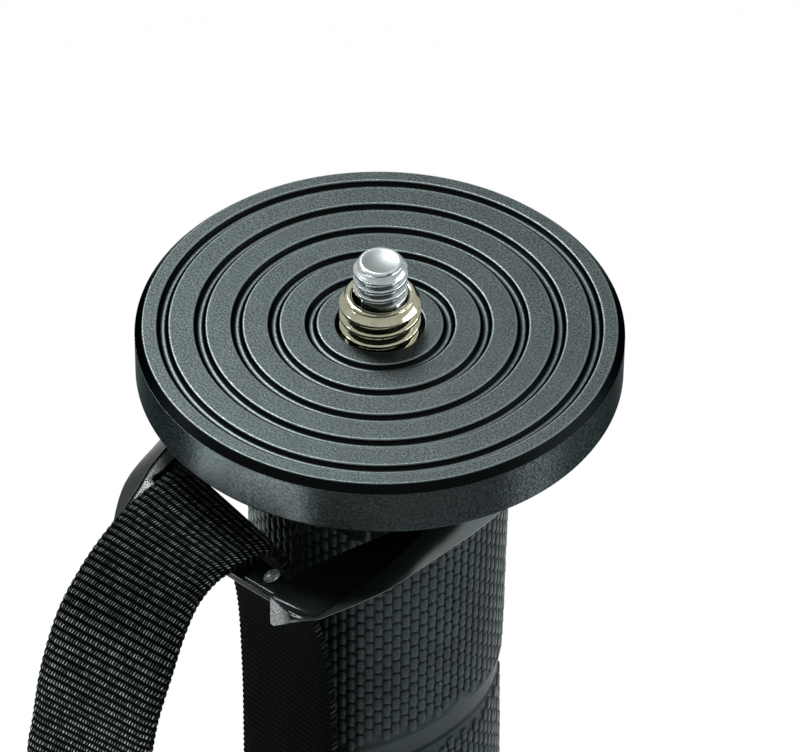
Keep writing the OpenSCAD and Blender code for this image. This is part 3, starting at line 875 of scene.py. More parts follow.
def pad(name: str, width: float, height: float, thickness: float, corner: float) -> bpy.types.Object:
    """One raised rounded block, as a loose object that stands out along +X.

    Args:
        name: the object's name.
        width: its size along Y.
        height: its size along Z.
        thickness: how far it stands out.
        corner: radius of its rounded corners.

    Returns:
        The object.
    """
    bm = bmesh.new()
    rings = []
    # Each ring's inset and its share of the thickness, from the buried foot up
    for inset, lift in ((-0.02, -0.2), (0.03, 0.66), (0.17, 1.0)):
        half_w = width / 2 - inset
        half_h = height / 2 - inset
        bend = min(corner, half_w * 0.85)
        ring = []
        for quarter in range(4):
            side = 1 if quarter in (0, 3) else -1
            end = 1 if quarter in (0, 1) else -1
            for step in range(3):
                angle = math.pi / 2 * (quarter + step / 2)
                ring.append(bm.verts.new((lift * thickness, side * (half_w - bend) + bend * math.cos(angle),
                                          end * (half_h - bend) + bend * math.sin(angle))))
        rings.append(ring)
    for low, high in zip(rings, rings[1:]):
        for k in range(len(low)):
            n = (k + 1) % len(low)
            bm.faces.new((low[k], low[n], high[n], high[k]))
    bm.faces.new(rings[-1])
    mesh = to_mesh(name, bm, 80.0)
    layer = mesh.attributes.new("edge", "FLOAT", "POINT")
    for vert in mesh.vertices:
        layer.data[vert.index].value = 1.0 if vert.co.x > 0.5 * thickness * MM else 0.0
    made = bpy.data.objects.new(name, mesh)
    bpy.context.scene.collection.objects.link(made)
    return made


def piece(name: str, mesh: bpy.types.Mesh, material: bpy.types.Material, body: Body, slot: Slot,
          nodes: Sequence[str] = ()) -> bpy.types.Object:
    """Makes a finished piece and seats it in the frame.

    Args:
        name: the piece's name.
        mesh: its mesh, in place.
        material: its finish.
        body: the body that it rides on.
        slot: the name of its material slot; not used.
        nodes: the CAD nodes that it stands for.

    Returns:
        The object.
    """
    mesh.materials.clear()
    mesh.materials.append(material)
    made = bpy.data.objects.new(name, mesh)
    bpy.context.scene.collection.objects.link(made)
    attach(made, body.value)
    if nodes:
        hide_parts(*nodes)
    log.info("%s: %d faces on %s", name, len(mesh.polygons), body.value)
    return made


def dress(node: str, material: bpy.types.Material) -> None:
    """Gives a CAD node that stays its finish.

    Args:
        node: the CAD node.
        material: its finish.
    """
    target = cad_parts[node]
    target.data.materials.clear()
    target.data.materials.append(material)
    log.info("%s: dressed with %s", node, material.name)


class GeometryTree(NodeBuilder):
    """A Geometry Nodes tree with named inputs, which gives a plain mesh."""

    def __init__(self, name: str) -> None:
        """Starts an empty tree with one geometry output.

        Args:
            name: the tree's name.
        """
        self.group = bpy.data.node_groups.new(name, "GeometryNodeTree")
        super().__init__(self.group)
        self.group.interface.new_socket("Geometry", in_out="OUTPUT", socket_type="NodeSocketGeometry")
        self.inlet = self.tree.nodes.new("NodeGroupInput")
        self.outlet = self.tree.nodes.new("NodeGroupOutput")
        self.identifiers: dict[str, str] = {}

    def input(self, name: str, kind: str = "NodeSocketFloat") -> Value:
        """Adds a named input.

        Args:
            name: the input's name.
            kind: its socket type.

        Returns:
            The input as a value.
        """
        made = self.group.interface.new_socket(name, in_out="INPUT", socket_type=kind)
        self.identifiers[name] = made.identifier
        return Value(self, self.inlet.outputs[name])

    def index(self) -> Value:
        """The number of the point."""
        return Value(self, self.node("GeometryNodeInputIndex", {}, {}).outputs[0])

    def chance(self, low: float, high: float, seed: int) -> Value:
        """A random number for each point.

        Args:
            low: least value.
            high: greatest value.
            seed: fixed seed.

        Returns:
            The random value.
        """
        # Inputs 2 and 3 and output 1 are the node's sockets for plain numbers
        made = self.node("FunctionNodeRandomValue", {"data_type": "FLOAT"}, {2: low, 3: high, "Seed": seed})
        return Value(self, made.outputs[1])

    def shown(self, shape: Value) -> bpy.types.NodeSocket:
        """The geometry of an object input."""
        return self.node("GeometryNodeObjectInfo", {}, {"Object": shape}).outputs["Geometry"]

    def copies(self, points: bpy.types.NodeSocket, shape: Value, rotation: Any, scale: Any = (1.0, 1.0, 1.0),
               unwanted: Any = False) -> bpy.types.NodeSocket:
        """Puts a copy of an object on each point.

        Args:
            points: the points.
            shape: the object input.
            rotation: turn of each copy.
            scale: scale of each copy.
            unwanted: above 0 for the copies that are left out.

        Returns:
            The copies as real geometry.
        """
        placed = self.node("GeometryNodeInstanceOnPoints", {}, {
            "Points": points, "Instance": self.shown(shape), "Rotation": rotation, "Scale": scale})
        kept = self.node("GeometryNodeDeleteGeometry", {"domain": "INSTANCE"}, {
            "Geometry": placed.outputs[0], "Selection": unwanted})
        return self.node("GeometryNodeRealizeInstances", {}, {0: kept.outputs[0]}).outputs[0]

    def build(self, geometry: bpy.types.NodeSocket, name: str, material: bpy.types.Material,
              values: dict[str, Any]) -> bpy.types.Mesh:
        """Ends the tree with a material, runs it and gives the mesh.

        Args:
            geometry: the tree's result.
            name: the mesh's name.
            material: the finish that is set.
            values: the inputs by name.

        Returns:
            A plain mesh.
        """
        painted = self.node("GeometryNodeSetMaterial", {}, {"Geometry": geometry, "Material": material})
        self.tree.links.new(painted.outputs[0], self.outlet.inputs[0])
        holder = bpy.data.objects.new(name + ".holder", bpy.data.meshes.new(name + ".empty"))
        bpy.context.scene.collection.objects.link(holder)
        modifier = holder.modifiers.new(name, "NODES")
        modifier.node_group = self.group
        for key, value in values.items():
            modifier[self.identifiers[key]] = value
        return settled(holder, name)


# Sub-assemblies


@dataclass
class CameraPlate:
    """The round plate with its ring grooves."""

    radius: float = 28.5
    thickness: float = 7.0
    bevel: float = 0.9
    groove_radius: float = 0.66
    groove_depth: float = 0.47
    # Place and half width of the line in a groove that the painted shade leaves out, so that it shows bright,
    # as shares of the groove's radius
    line_shift: float = -0.06
    line_half: float = 0.32
    groove_first: float = 8.05
    groove_pitch: float = 4.3
    groove_count: int = 5
    groove_steps: int = 13
    lip: float = 0.14
    lip_steps: int = 4
    # Share of the painted shade on the plate's wall
    wall_painted_shade: float = 0.42
    rim_sink: float = 0.04
    hole: float = 5.21
    bore: float = 8.04
    skin: float = 2.6

    def groove(self, middle: float) -> Profile:
        """The points of one rounded groove; its lips and a line along its bottom get the edge mark, which
        paints them lighter as highlights.

        Args:
            middle: mean radius of the groove.

        Returns:
            Profile points from its inner lip to its outer lip.
        """
        inner = middle - self.groove_radius
        outer = middle + self.groove_radius
        lip_angles = [math.pi / 2 * step / self.lip_steps for step in range(self.lip_steps + 1)]
        points: Profile = [(inner - 2 * self.lip, 0.0, 0.0)]
        for angle in lip_angles:
            points.append((inner - self.lip * (1 - math.sin(angle)), self.lip * (math.cos(angle) - 1), 1.0))
        for step in range(1, self.groove_steps):
            angle = math.pi * step / self.groove_steps
            points.append((middle - self.groove_radius * math.cos(angle),
                           -self.lip - self.groove_depth * math.sin(angle), 0.5 if 4 < step < 9 else 0.0))
        for angle in reversed(lip_angles):
            points.append((outer + self.lip * (1 - math.sin(angle)), self.lip * (math.cos(angle) - 1), 1.0))
        points.append((outer + 2 * self.lip, 0.0, 0.0))
        return points

    def profile(self) -> Profile:
        """The plate's closed profile.

        Returns:
            Profile points, from the bore's low end up and outwards.
        """
        edge = self.radius - self.bevel
        hub = [(self.bore, -self.thickness, 0), (self.bore, -self.skin, 0), (self.hole, -self.skin, 0),
               (self.hole, 0, 0.15), (self.groove_first - 1.5, 0, 0)]
        points = soften(hub, steps=4, closed=False)[:-1]
        for index in range(self.groove_count):
            points += self.groove(self.groove_first + index * self.groove_pitch)
        wall = self.radius - self.rim_sink
        rim = soften([(edge - 1.0, 0, 0), (edge, 0, 0.16), (wall, -self.bevel, 0.15),
                      (wall, -self.thickness, 0.55), (self.bore, -self.thickness, 0)], closed=False)
        return points + rim[1:-1]

    def rim(self) -> Profile:
        """The turned wall's closed profile, a thin band round the plate.

        Returns:
            Profile points.
        """
        low = -self.thickness + 0.5
        high = -self.bevel - 0.08
        return soften([(self.radius - 0.8, low, 0), (self.radius, low, 0.03), (self.radius, high, 0.03),
                       (self.radius - 0.8, high, 0)], steps=3)

    def hollow(self, radius: float, height: float) -> float:
        """The painted-shade mark: 1 on the grooves' sides and the bevel, less on the wall, 0 on a line in
        each groove.

        Args:
            radius: distance from the axis.
            height: height above the plate's face.

        Returns:
            The mark.
        """
        if radius > self.radius - self.bevel + 0.08 and height < -0.06:
            return 1.0 if height > -self.bevel - 0.05 else self.wall_painted_shade
        place = (radius - self.groove_first) / self.groove_pitch
        across = (place - round(place)) * self.groove_pitch / self.groove_radius
        deep = height < -1.5 * self.lip
        if deep and height > -1.0 and abs(across) < 0.95:
            return min(1.0, ((across - self.line_shift) / self.line_half) ** 2)
        return 1.0 if deep and radius < self.radius - 2 else 0.0

    def build(self, finish: bpy.types.Material, rim_finish: bpy.types.Material) -> None:
        """Makes the plate and its turned wall.

        Args:
            finish: the plate's finish.
            rim_finish: the wall's finish.
        """
        band = self.rim()
        wall = turned("camera_plate_wall", lambda angle: band, segments=288, sharp=50.0)
        piece("camera_plate_wall", wall, rim_finish, Body.UPPER, Slot.PLATE)
        outline = self.profile()
        mesh = turned("camera_plate_turned", lambda angle: outline, segments=288, sharp=50.0,
                      hollow=self.hollow)
        piece("camera_plate_turned", mesh, finish, Body.UPPER, Slot.PLATE, ["camera_plate"])


@dataclass
class Thread:
    """A right-hand screw thread, cut on a rod with a bevelled end."""

    radius: float
    pitch: float
    low: float
    high: float
    end_radius: float
    end_slope: float
    rows: int = 110
    # Depth of the thread as a share of its pitch
    depth: float = 0.5413
    # Where a flank ends and how wide it is, as shares of half a pitch, and how round it is
    flank_end: float = 0.8
    flank: float = 0.58
    flank_round: float = 0.35

    def points(self, angle: float) -> Profile:
        """The thread's outside at an angle, from its low end up.

        Args:
            angle: angle around the axis.

        Returns:
            Profile points.
        """
        root = self.radius - self.depth * self.pitch
        made: Profile = []
        for row in range(self.rows + 1):
            height = self.low + (self.high - self.low) * row / self.rows
            phase = ((height - self.high) / self.pitch - angle / TURN) % 1.0
            away = abs(phase - 0.5) * 2
            share = min(1.0, max(0.0, (self.flank_end - away) / self.flank))
            smooth = share * share * (3 - 2 * share)
            share = smooth * self.flank_round + share * (1 - self.flank_round)
            radius = root + (self.radius - root) * share
            limit = self.end_radius + (self.high - height) * self.end_slope
            made.append((min(radius, limit), height, 1.0 if share > 0.9 and radius < limit else 0.0))
        return made


@dataclass
class CameraScrews:
    """The hollow stud, the small pin inside it and the pin's spring."""

    stud: Thread = field(default_factory=lambda: Thread(4.7625, 1.5875, -2.6, 4.4, 3.98, 0.8))
    pin: Thread = field(default_factory=lambda: Thread(3.175, 1.27, 4.82, 9.2, 2.56, 0.8, 84))
    bore: float = 3.225
    flange: float = 8.0
    flange_low: float = -5.0
    barrel: float = 6.0
    barrel_low: float = -22.0
    barrel_bore: float = 4.5
    shoulder_top: float = -4.24
    shoulder_low: float = -6.2
    shoulder: float = 4.45
    pin_low: float = -10.7
    pin_core: float = 2.488
    pin_neck: float = 2.85
    pin_top: float = 9.4
    pin_face: float = 2.4
    dish: float = 0.22
    spring_low: float = -20.0
    spring_wire: float = 0.7
    spring_turns: float = 7.0
    spring_gap: float = 0.04
    press: float = 7.4

    def stud_profile(self, angle: float) -> Profile:
        """The stud's closed profile.

        Args:
            angle: angle around the axis.

        Returns:
            Profile points, up the thread and down the bore.
        """
        top = self.stud.high
        rim = self.stud.end_radius
        inside: Profile = [
            (rim - 0.12, top + 0.05, 1.0), (self.bore + 0.32, top + 0.05, 1.0),
            (self.bore + 0.1, top - 0.05, 1.0), (self.bore, top - 0.22, 0.0),
            (self.bore, self.shoulder_top, 0.0),
            (self.barrel_bore, self.shoulder_top, 0.0), (self.barrel_bore, self.barrel_low, 0.0),
            (self.barrel, self.barrel_low, 0.0), (self.barrel, self.flange_low, 0.0),
            (self.flange, self.flange_low, 0.0), (self.flange, self.stud.low, 0.0)]
        return self.stud.points(angle) + inside

    def pin_profile(self, angle: float) -> Profile:
        """The pin's open profile.

        Args:
            angle: angle around the axis.

        Returns:
            Profile points, from its tail to the middle of its top.
        """
        tail: Profile = [
            (0.0, self.pin_low, 0.0), (self.pin_core - 0.4, self.pin_low, 0.0),
            (self.pin_core, self.pin_low + 0.4, 1.0), (self.pin_core, self.shoulder_low, 0.0),
            (self.shoulder, self.shoulder_low, 0.0), (self.shoulder, self.shoulder_top, 0.0),
            (self.pin_neck, self.shoulder_top, 0.0)]
        dished = self.pin_face - 0.25
        face: Profile = [
            (self.pin_face + 0.07, self.pin_top - 0.06, 1.0), (self.pin_face - 0.06, self.pin_top, 1.0),
            (dished, self.pin_top - 0.01, 0.0)]
        steps = 8
        for step in range(1, steps + 1):
            share = 1 - step / steps
            face.append((dished * share, self.pin_top - self.dish * (1 - share * share), 0.0))
        return tail + self.pin.points(angle) + face

    def top_face(self, radius: float, height: float) -> float:
        """The hollow mark, which paints shade: 1 on the pin's dished top."""
        return 1.0 if height > self.pin_top - 0.4 and radius < self.pin_face - 0.1 else 0.0

    def spring(self, finish: bpy.types.Material) -> bpy.types.Mesh:
        """The spring, wound along a spiral.

        Args:
            finish: the wire's finish.

        Returns:
            The spring's mesh.
        """
        tree = GeometryTree("Pin spring")
        turns = tree.input("Turns")
        radius = tree.input("Coil radius")
        height = tree.input("Height")
        low = tree.input("Low end")
        wire = tree.input("Wire radius")
        coil = tree.node("GeometryNodeCurveSpiral", {}, {
            "Resolution": 40, "Rotations": turns, "Height": height,
            "Start Radius": radius, "End Radius": radius})
        ring = tree.node("GeometryNodeCurvePrimitiveCircle", {}, {"Resolution": 10, "Radius": wire})
        tube = tree.node("GeometryNodeCurveToMesh", {}, {
            0: coil.outputs[0], 1: ring.outputs[0], "Fill Caps": True})
        moved = tree.node("GeometryNodeTransform", {}, {
            0: tube.outputs[0], "Translation": tree.vector(0.0, 0.0, low)})
        smooth = tree.node("GeometryNodeSetShadeSmooth", {}, {0: moved.outputs[0]})
        whole = tree.node("GeometryNodeRealizeInstances", {}, {0: smooth.outputs[0]})
        span = self.shoulder_low - self.spring_low - self.spring_wire - 2 * self.spring_gap
        low_end = self.spring_low + self.spring_wire / 2 + self.spring_gap
        return tree.build(whole.outputs[0], "pin_spring_wound", finish, {
            "Turns": self.spring_turns, "Coil radius": (self.pin_core + self.barrel_bore) / 2 * MM,
            "Height": span * MM, "Low end": low_end * MM,
            "Wire radius": self.spring_wire / 2 * MM})

    def build(self, nickel: bpy.types.Material, steel: bpy.types.Material, wire: bpy.types.Material) -> None:
        """Makes the stud, the pin and the spring.

        Args:
            nickel: the stud's finish.
            steel: the pin's finish.
            wire: the spring's finish.
        """
        stud = turned("large_stud_threaded", self.stud_profile, segments=144, sharp=50.0)
        piece("large_stud_threaded", stud, nickel, Body.UPPER, Slot.STUD, ["large_stud"])
        pin = turned("small_pin_threaded", self.pin_profile, segments=112, closed=False, sharp=50.0,
                     hollow=self.top_face)
        piece("small_pin_threaded", pin, steel, Body.PIN, Slot.PIN, ["small_pin"])
        coil = piece("pin_spring_wound", self.spring(wire), wire, Body.UPPER, Slot.SPRING, ["pin_spring"])
        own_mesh(coil)


@dataclass(frozen=True)
class ArmStation:
    """One cross-section of a yoke arm, at a distance in front of the axis."""

    front: float
    inner: float
    top: float
    rim: float
    rim_height: float
    far_inner: float
    inset: float = 0.0


@dataclass
class StrapYoke:
    """The moulded yoke: a collar round the tube, two arms with noses, and the bar between them."""

    face: float = -12.0
    sink: float = 0.13
    bottom: float = -16.7
    slope: float = 0.68
    flank_out: float = 0.62
    flank_down: float = 0.46
    round_in: float = 0.45
    collar: float = 17.5
    collar_bore: float = 13.54
    collar_low: float = -15.7
    collar_top: float = -7.2
    web_front: float = 17.8
    web_back: float = 14.4
    web_half: float = 10.0
    web_round: float = 0.5
    bar_back: float = 28.9
    bar_front: float = 33.4
    bar_skew: float = 0.134
    bar_back_skew: float = 0.28
    bar_half: float = 8.6
    bar_top: float = -12.25
    bar_low: float = -13.7
    bar_round: float = 0.42
    boss_side: float = 5.8
    boss_front: float = 31.9
    boss_size: tuple[float, float, float] = (0.85, 1.25, 0.6)
    # Where the grain and painted light of the noses' fronts begin, and how they fade sideways
    nose_front: float = 34.7
    nose_side: float = 11.8
    nose_light_fade: float = 3.2
    grain_least: float = 0.05
    grain_and_highlight_boss: float = 0.6
    grain_and_light_top: float = 0.95
    root: tuple[ArmStation, ...] = (
        ArmStation(-7.2, 11.0, 12.6, 14.4, -15.0, 11.0), ArmStation(-6.2, 11.0, 15.2, 17.2, -15.0, 11.0),
        ArmStation(-4.0, 11.0, 17.4, 19.5, -15.0, 11.0), ArmStation(0.0, 11.0, 18.4, 20.5, -15.0, 11.0),
        ArmStation(5.0, 10.5, 18.2, 20.5, -14.9, 10.5), ArmStation(9.0, 10.0, 17.6, 20.2, -14.7, 10.0),
        ArmStation(12.3, 9.5, 17.0, 19.8, -14.4, 9.5), ArmStation(15.2, 9.0, 16.65, 19.35, -14.1, 9.0),
        ArmStation(16.8, 9.0, 16.5, 19.1, -14.0, 9.0))
    arm: tuple[ArmStation, ...] = (
        ArmStation(16.8, 9.0, 16.5, 19.1, -14.0, 9.0), ArmStation(17.6, 11.6, 16.45, 18.98, -13.9, 12.4),
        ArmStation(18.2, 13.0, 16.42, 18.88, -13.82, 14.0),
        ArmStation(20.0, 12.15, 16.35, 18.65, -13.6, 14.2),
        ArmStation(22.0, 11.2, 16.2, 18.4, -13.3, 14.2), ArmStation(24.0, 10.25, 16.0, 18.1, -13.0, 14.2),
        ArmStation(26.0, 9.3, 15.6, 17.72, -12.75, 14.1), ArmStation(28.0, 8.4, 15.15, 17.15, -12.5, 8.6),
        ArmStation(30.0, 7.6, 14.8, 16.4, -12.36, 7.6), ArmStation(32.0, 7.3, 14.45, 15.5, -12.25, 7.3),
        ArmStation(33.6, 7.3, 14.15, 14.7, -12.2, 7.3), ArmStation(34.6, 7.35, 13.9, 14.2, -12.18, 7.35),
        ArmStation(35.0, 8.2, 13.5, 13.75, -12.2, 8.2), ArmStation(35.35, 9.1, 13.0, 13.22, -12.22, 9.1),
        ArmStation(35.62, 9.9, 12.45, 12.65, -12.25, 9.9),
        ArmStation(35.76, 10.4, 12.0, 12.2, -12.3, 10.4, 0.04),
        ArmStation(35.82, 10.7, 11.75, 11.9, -12.35, 10.7, 0.14))

    def section(self, at: ArmStation, inner: float) -> Plan:
        """The closed outline of one cross-section, across and up.

        Args:
            at: the station.
            inner: distance of the arm's inner edge from the middle.

        Returns:
            Its points.
        """
        face = self.face - at.inset
        floor = face - self.sink
        curve = self.round_in
        width = at.rim - at.top
        drop = face - at.rim_height
        points: Plan = [
            (inner, floor - curve), (inner + 0.3 * curve, floor - 0.3 * curve), (inner + curve, floor),
            (at.top - 0.3, floor), (at.top - 0.13, floor + 0.02), (at.top - 0.03, face - 0.02),
            (at.top + min(0.05, 0.1 * width), face)]
        steps = 9
        for step in range(1, steps + 1):
            t = step / steps
            out = 2 * t * (1 - t) * self.flank_out + t * t
            down = 2 * t * (1 - t) * self.flank_down + t * t
            points.append((at.top + width * out, face - drop * down))
        start_x = at.rim - 0.08
        start_z = at.rim_height - 0.22

        def under(x: float) -> float:
            """Height of the underside."""
            return max(self.bottom + at.inset, start_z - (start_x - x) * self.slope)

        points.append((start_x, start_z))
        knee = max(inner + 2 * curve, start_x - (start_z - self.bottom) / self.slope)
        points += [(knee + 0.35, under(knee + 0.35)), (knee, under(knee) + 0.05),
                   (inner + curve, under(inner + curve)), (inner + 0.3 * curve, under(inner + curve) + 0.08),
                   (inner, under(inner + curve) + curve)]
        return points

    def loft(self, name: str, stations: Sequence[ArmStation], per_step: int) -> bpy.types.Mesh:
        """One arm and its mirror image, drawn through stations.

        Args:
            name: the mesh's name.
            stations: cross-sections from back to front.
            per_step: drawn sections between two stations.

        Returns:
            The mesh.
        """
        bm = bmesh.new()
        names = ("front", "inner", "top", "rim", "rim_height", "far_inner", "inset")
        columns = [[getattr(station, key) for station in stations] for key in names]
        total = (len(stations) - 1) * per_step
        drawn = []
        for step in range(total + 1):
            drawn.append(ArmStation(*(spline(column, step / per_step, False) for column in columns)))
        for side in (1, -1):
            rings = []
            for at in drawn:
                outline = self.section(at, at.inner if side == 1 else at.far_inner)
                rings.append([bm.verts.new((side * x, -at.front, z)) for x, z in outline])
            for low, high in zip(rings, rings[1:]):
                for k in range(len(low)):
                    n = (k + 1) % len(low)
                    bm.faces.new((low[k], low[n], high[n], high[k]))
            bm.faces.new(rings[0])
            bm.faces.new(rings[-1])
        return to_mesh(name, bm, 38.0)

    def block(self, name: str, outline: Plan, low: float, high: float, rounding: float) -> bpy.types.Mesh:
        """A rounded block.

        Args:
            name: the mesh's name.
            outline: its outline in plan, anticlockwise.
            low: height of its underside.
            high: height of its top.
            rounding: width of its rounded edges.

        Returns:
            The mesh.
        """
        bm = bmesh.new()
        prism(bm, outline, low, high)
        return bevelled(to_mesh(name, bm, 30.0), rounding, steps=4)

    def bar(self) -> bpy.types.Mesh:
        """The bar between the arms, set a little askew.

        Returns:
            Its mesh.
        """
        half = self.bar_half
        lean = self.bar_skew * half
        back_lean = self.bar_back_skew * half
        outline = [(-half, lean - self.bar_front), (half, -lean - self.bar_front),
                   (half, -back_lean - self.bar_back), (-half, back_lean - self.bar_back)]
        return self.block("yoke_bar", outline, self.bar_low, self.bar_top, self.bar_round)

    def web(self) -> bpy.types.Mesh:
        """The web that joins the arms in front of the collar.

        Returns:
            Its mesh.
        """
        half = self.web_half
        outline = [(-half, -self.web_front), (half, -self.web_front),
                   (half, -self.web_back), (-half, -self.web_back)]
        return self.block("yoke_web", outline, self.bottom, self.face - self.sink, self.web_round)

    def boss(self) -> bpy.types.Mesh:
        """The small rounded boss between the bar and the near nose.

        Returns:
            Its mesh.
        """
        bm = bmesh.new()
        bmesh.ops.create_uvsphere(bm, u_segments=24, v_segments=14, radius=1.0)
        bmesh.ops.scale(bm, vec=self.boss_size, verts=bm.verts)
        bmesh.ops.translate(bm, vec=(self.boss_side, -self.boss_front, self.bar_top + 0.05), verts=bm.verts)
        return to_mesh("yoke_boss", bm)

    def lip_at(self, front: float) -> float:
        """Distance of an arm's upper lip from the middle.

        Args:
            front: distance in front of the axis.

        Returns:
            The distance sideways.
        """
        for before, after in zip(self.arm, self.arm[1:]):
            if before.front <= front <= after.front:
                share = (front - before.front) / (after.front - before.front)
                return before.top + (after.top - before.top) * share
        return self.arm[0].top

    def grain_and_light_at(self, normal: Vector, centre: Vector) -> float:
        """The grain mark of a face, which also places painted light: strong on the noses' fronts and fading
        sideways, on the boss's upper faces and on the far arm's sunk top, but not on the near arm's top.

        Args:
            normal: the face's direction.
            centre: its centre in millimetres.

        Returns:
            The mark, from 0 to 1.
        """
        if centre.y < -self.nose_front and normal.z < 0.2:
            return min(1.0, max(self.grain_least, (self.nose_side - abs(centre.x)) / self.nose_light_fade))
        beside = abs(centre.x - self.boss_side) < 1 and abs(centre.y + self.boss_front) < 1.3
        if beside and normal.z > 0.4:
            return self.grain_and_highlight_boss
        sunk = normal.z > 0.97 and centre.z < self.face - 0.5 * self.sink
        return self.grain_and_light_top if sunk and 9 < -centre.x < self.lip_at(-centre.y) else self.grain_least

    def build(self, finish: bpy.types.Material) -> None:
        """Makes the yoke.

        Args:
            finish: its finish.
        """
        ring = soften([(self.collar_bore, self.collar_low, 0), (self.collar, self.collar_low, 0.3),
                       (self.collar, self.collar_top, 0.6), (self.collar_bore, self.collar_top, 0)])
        shells = [self.loft("yoke_arms", self.arm, per_step=4),
                  self.loft("yoke_roots", self.root, per_step=4),
                  self.web(), self.bar(), self.boss(),
                  turned("yoke_collar", lambda angle: ring, segments=128)]
        mesh = joined("strap_yoke_moulded", shells)
        mark_faces(mesh, "grained", self.grain_and_light_at)
        piece("strap_yoke_moulded", mesh, finish, Body.UPPER, Slot.YOKE, ["strap_yoke"])


@dataclass(frozen=True)
class StrapKnot:
    """A point of the strap's loop: the places of its far and near edges, and its height."""

    far_side: float
    far: float
    near_side: float
    near: float
    height: float


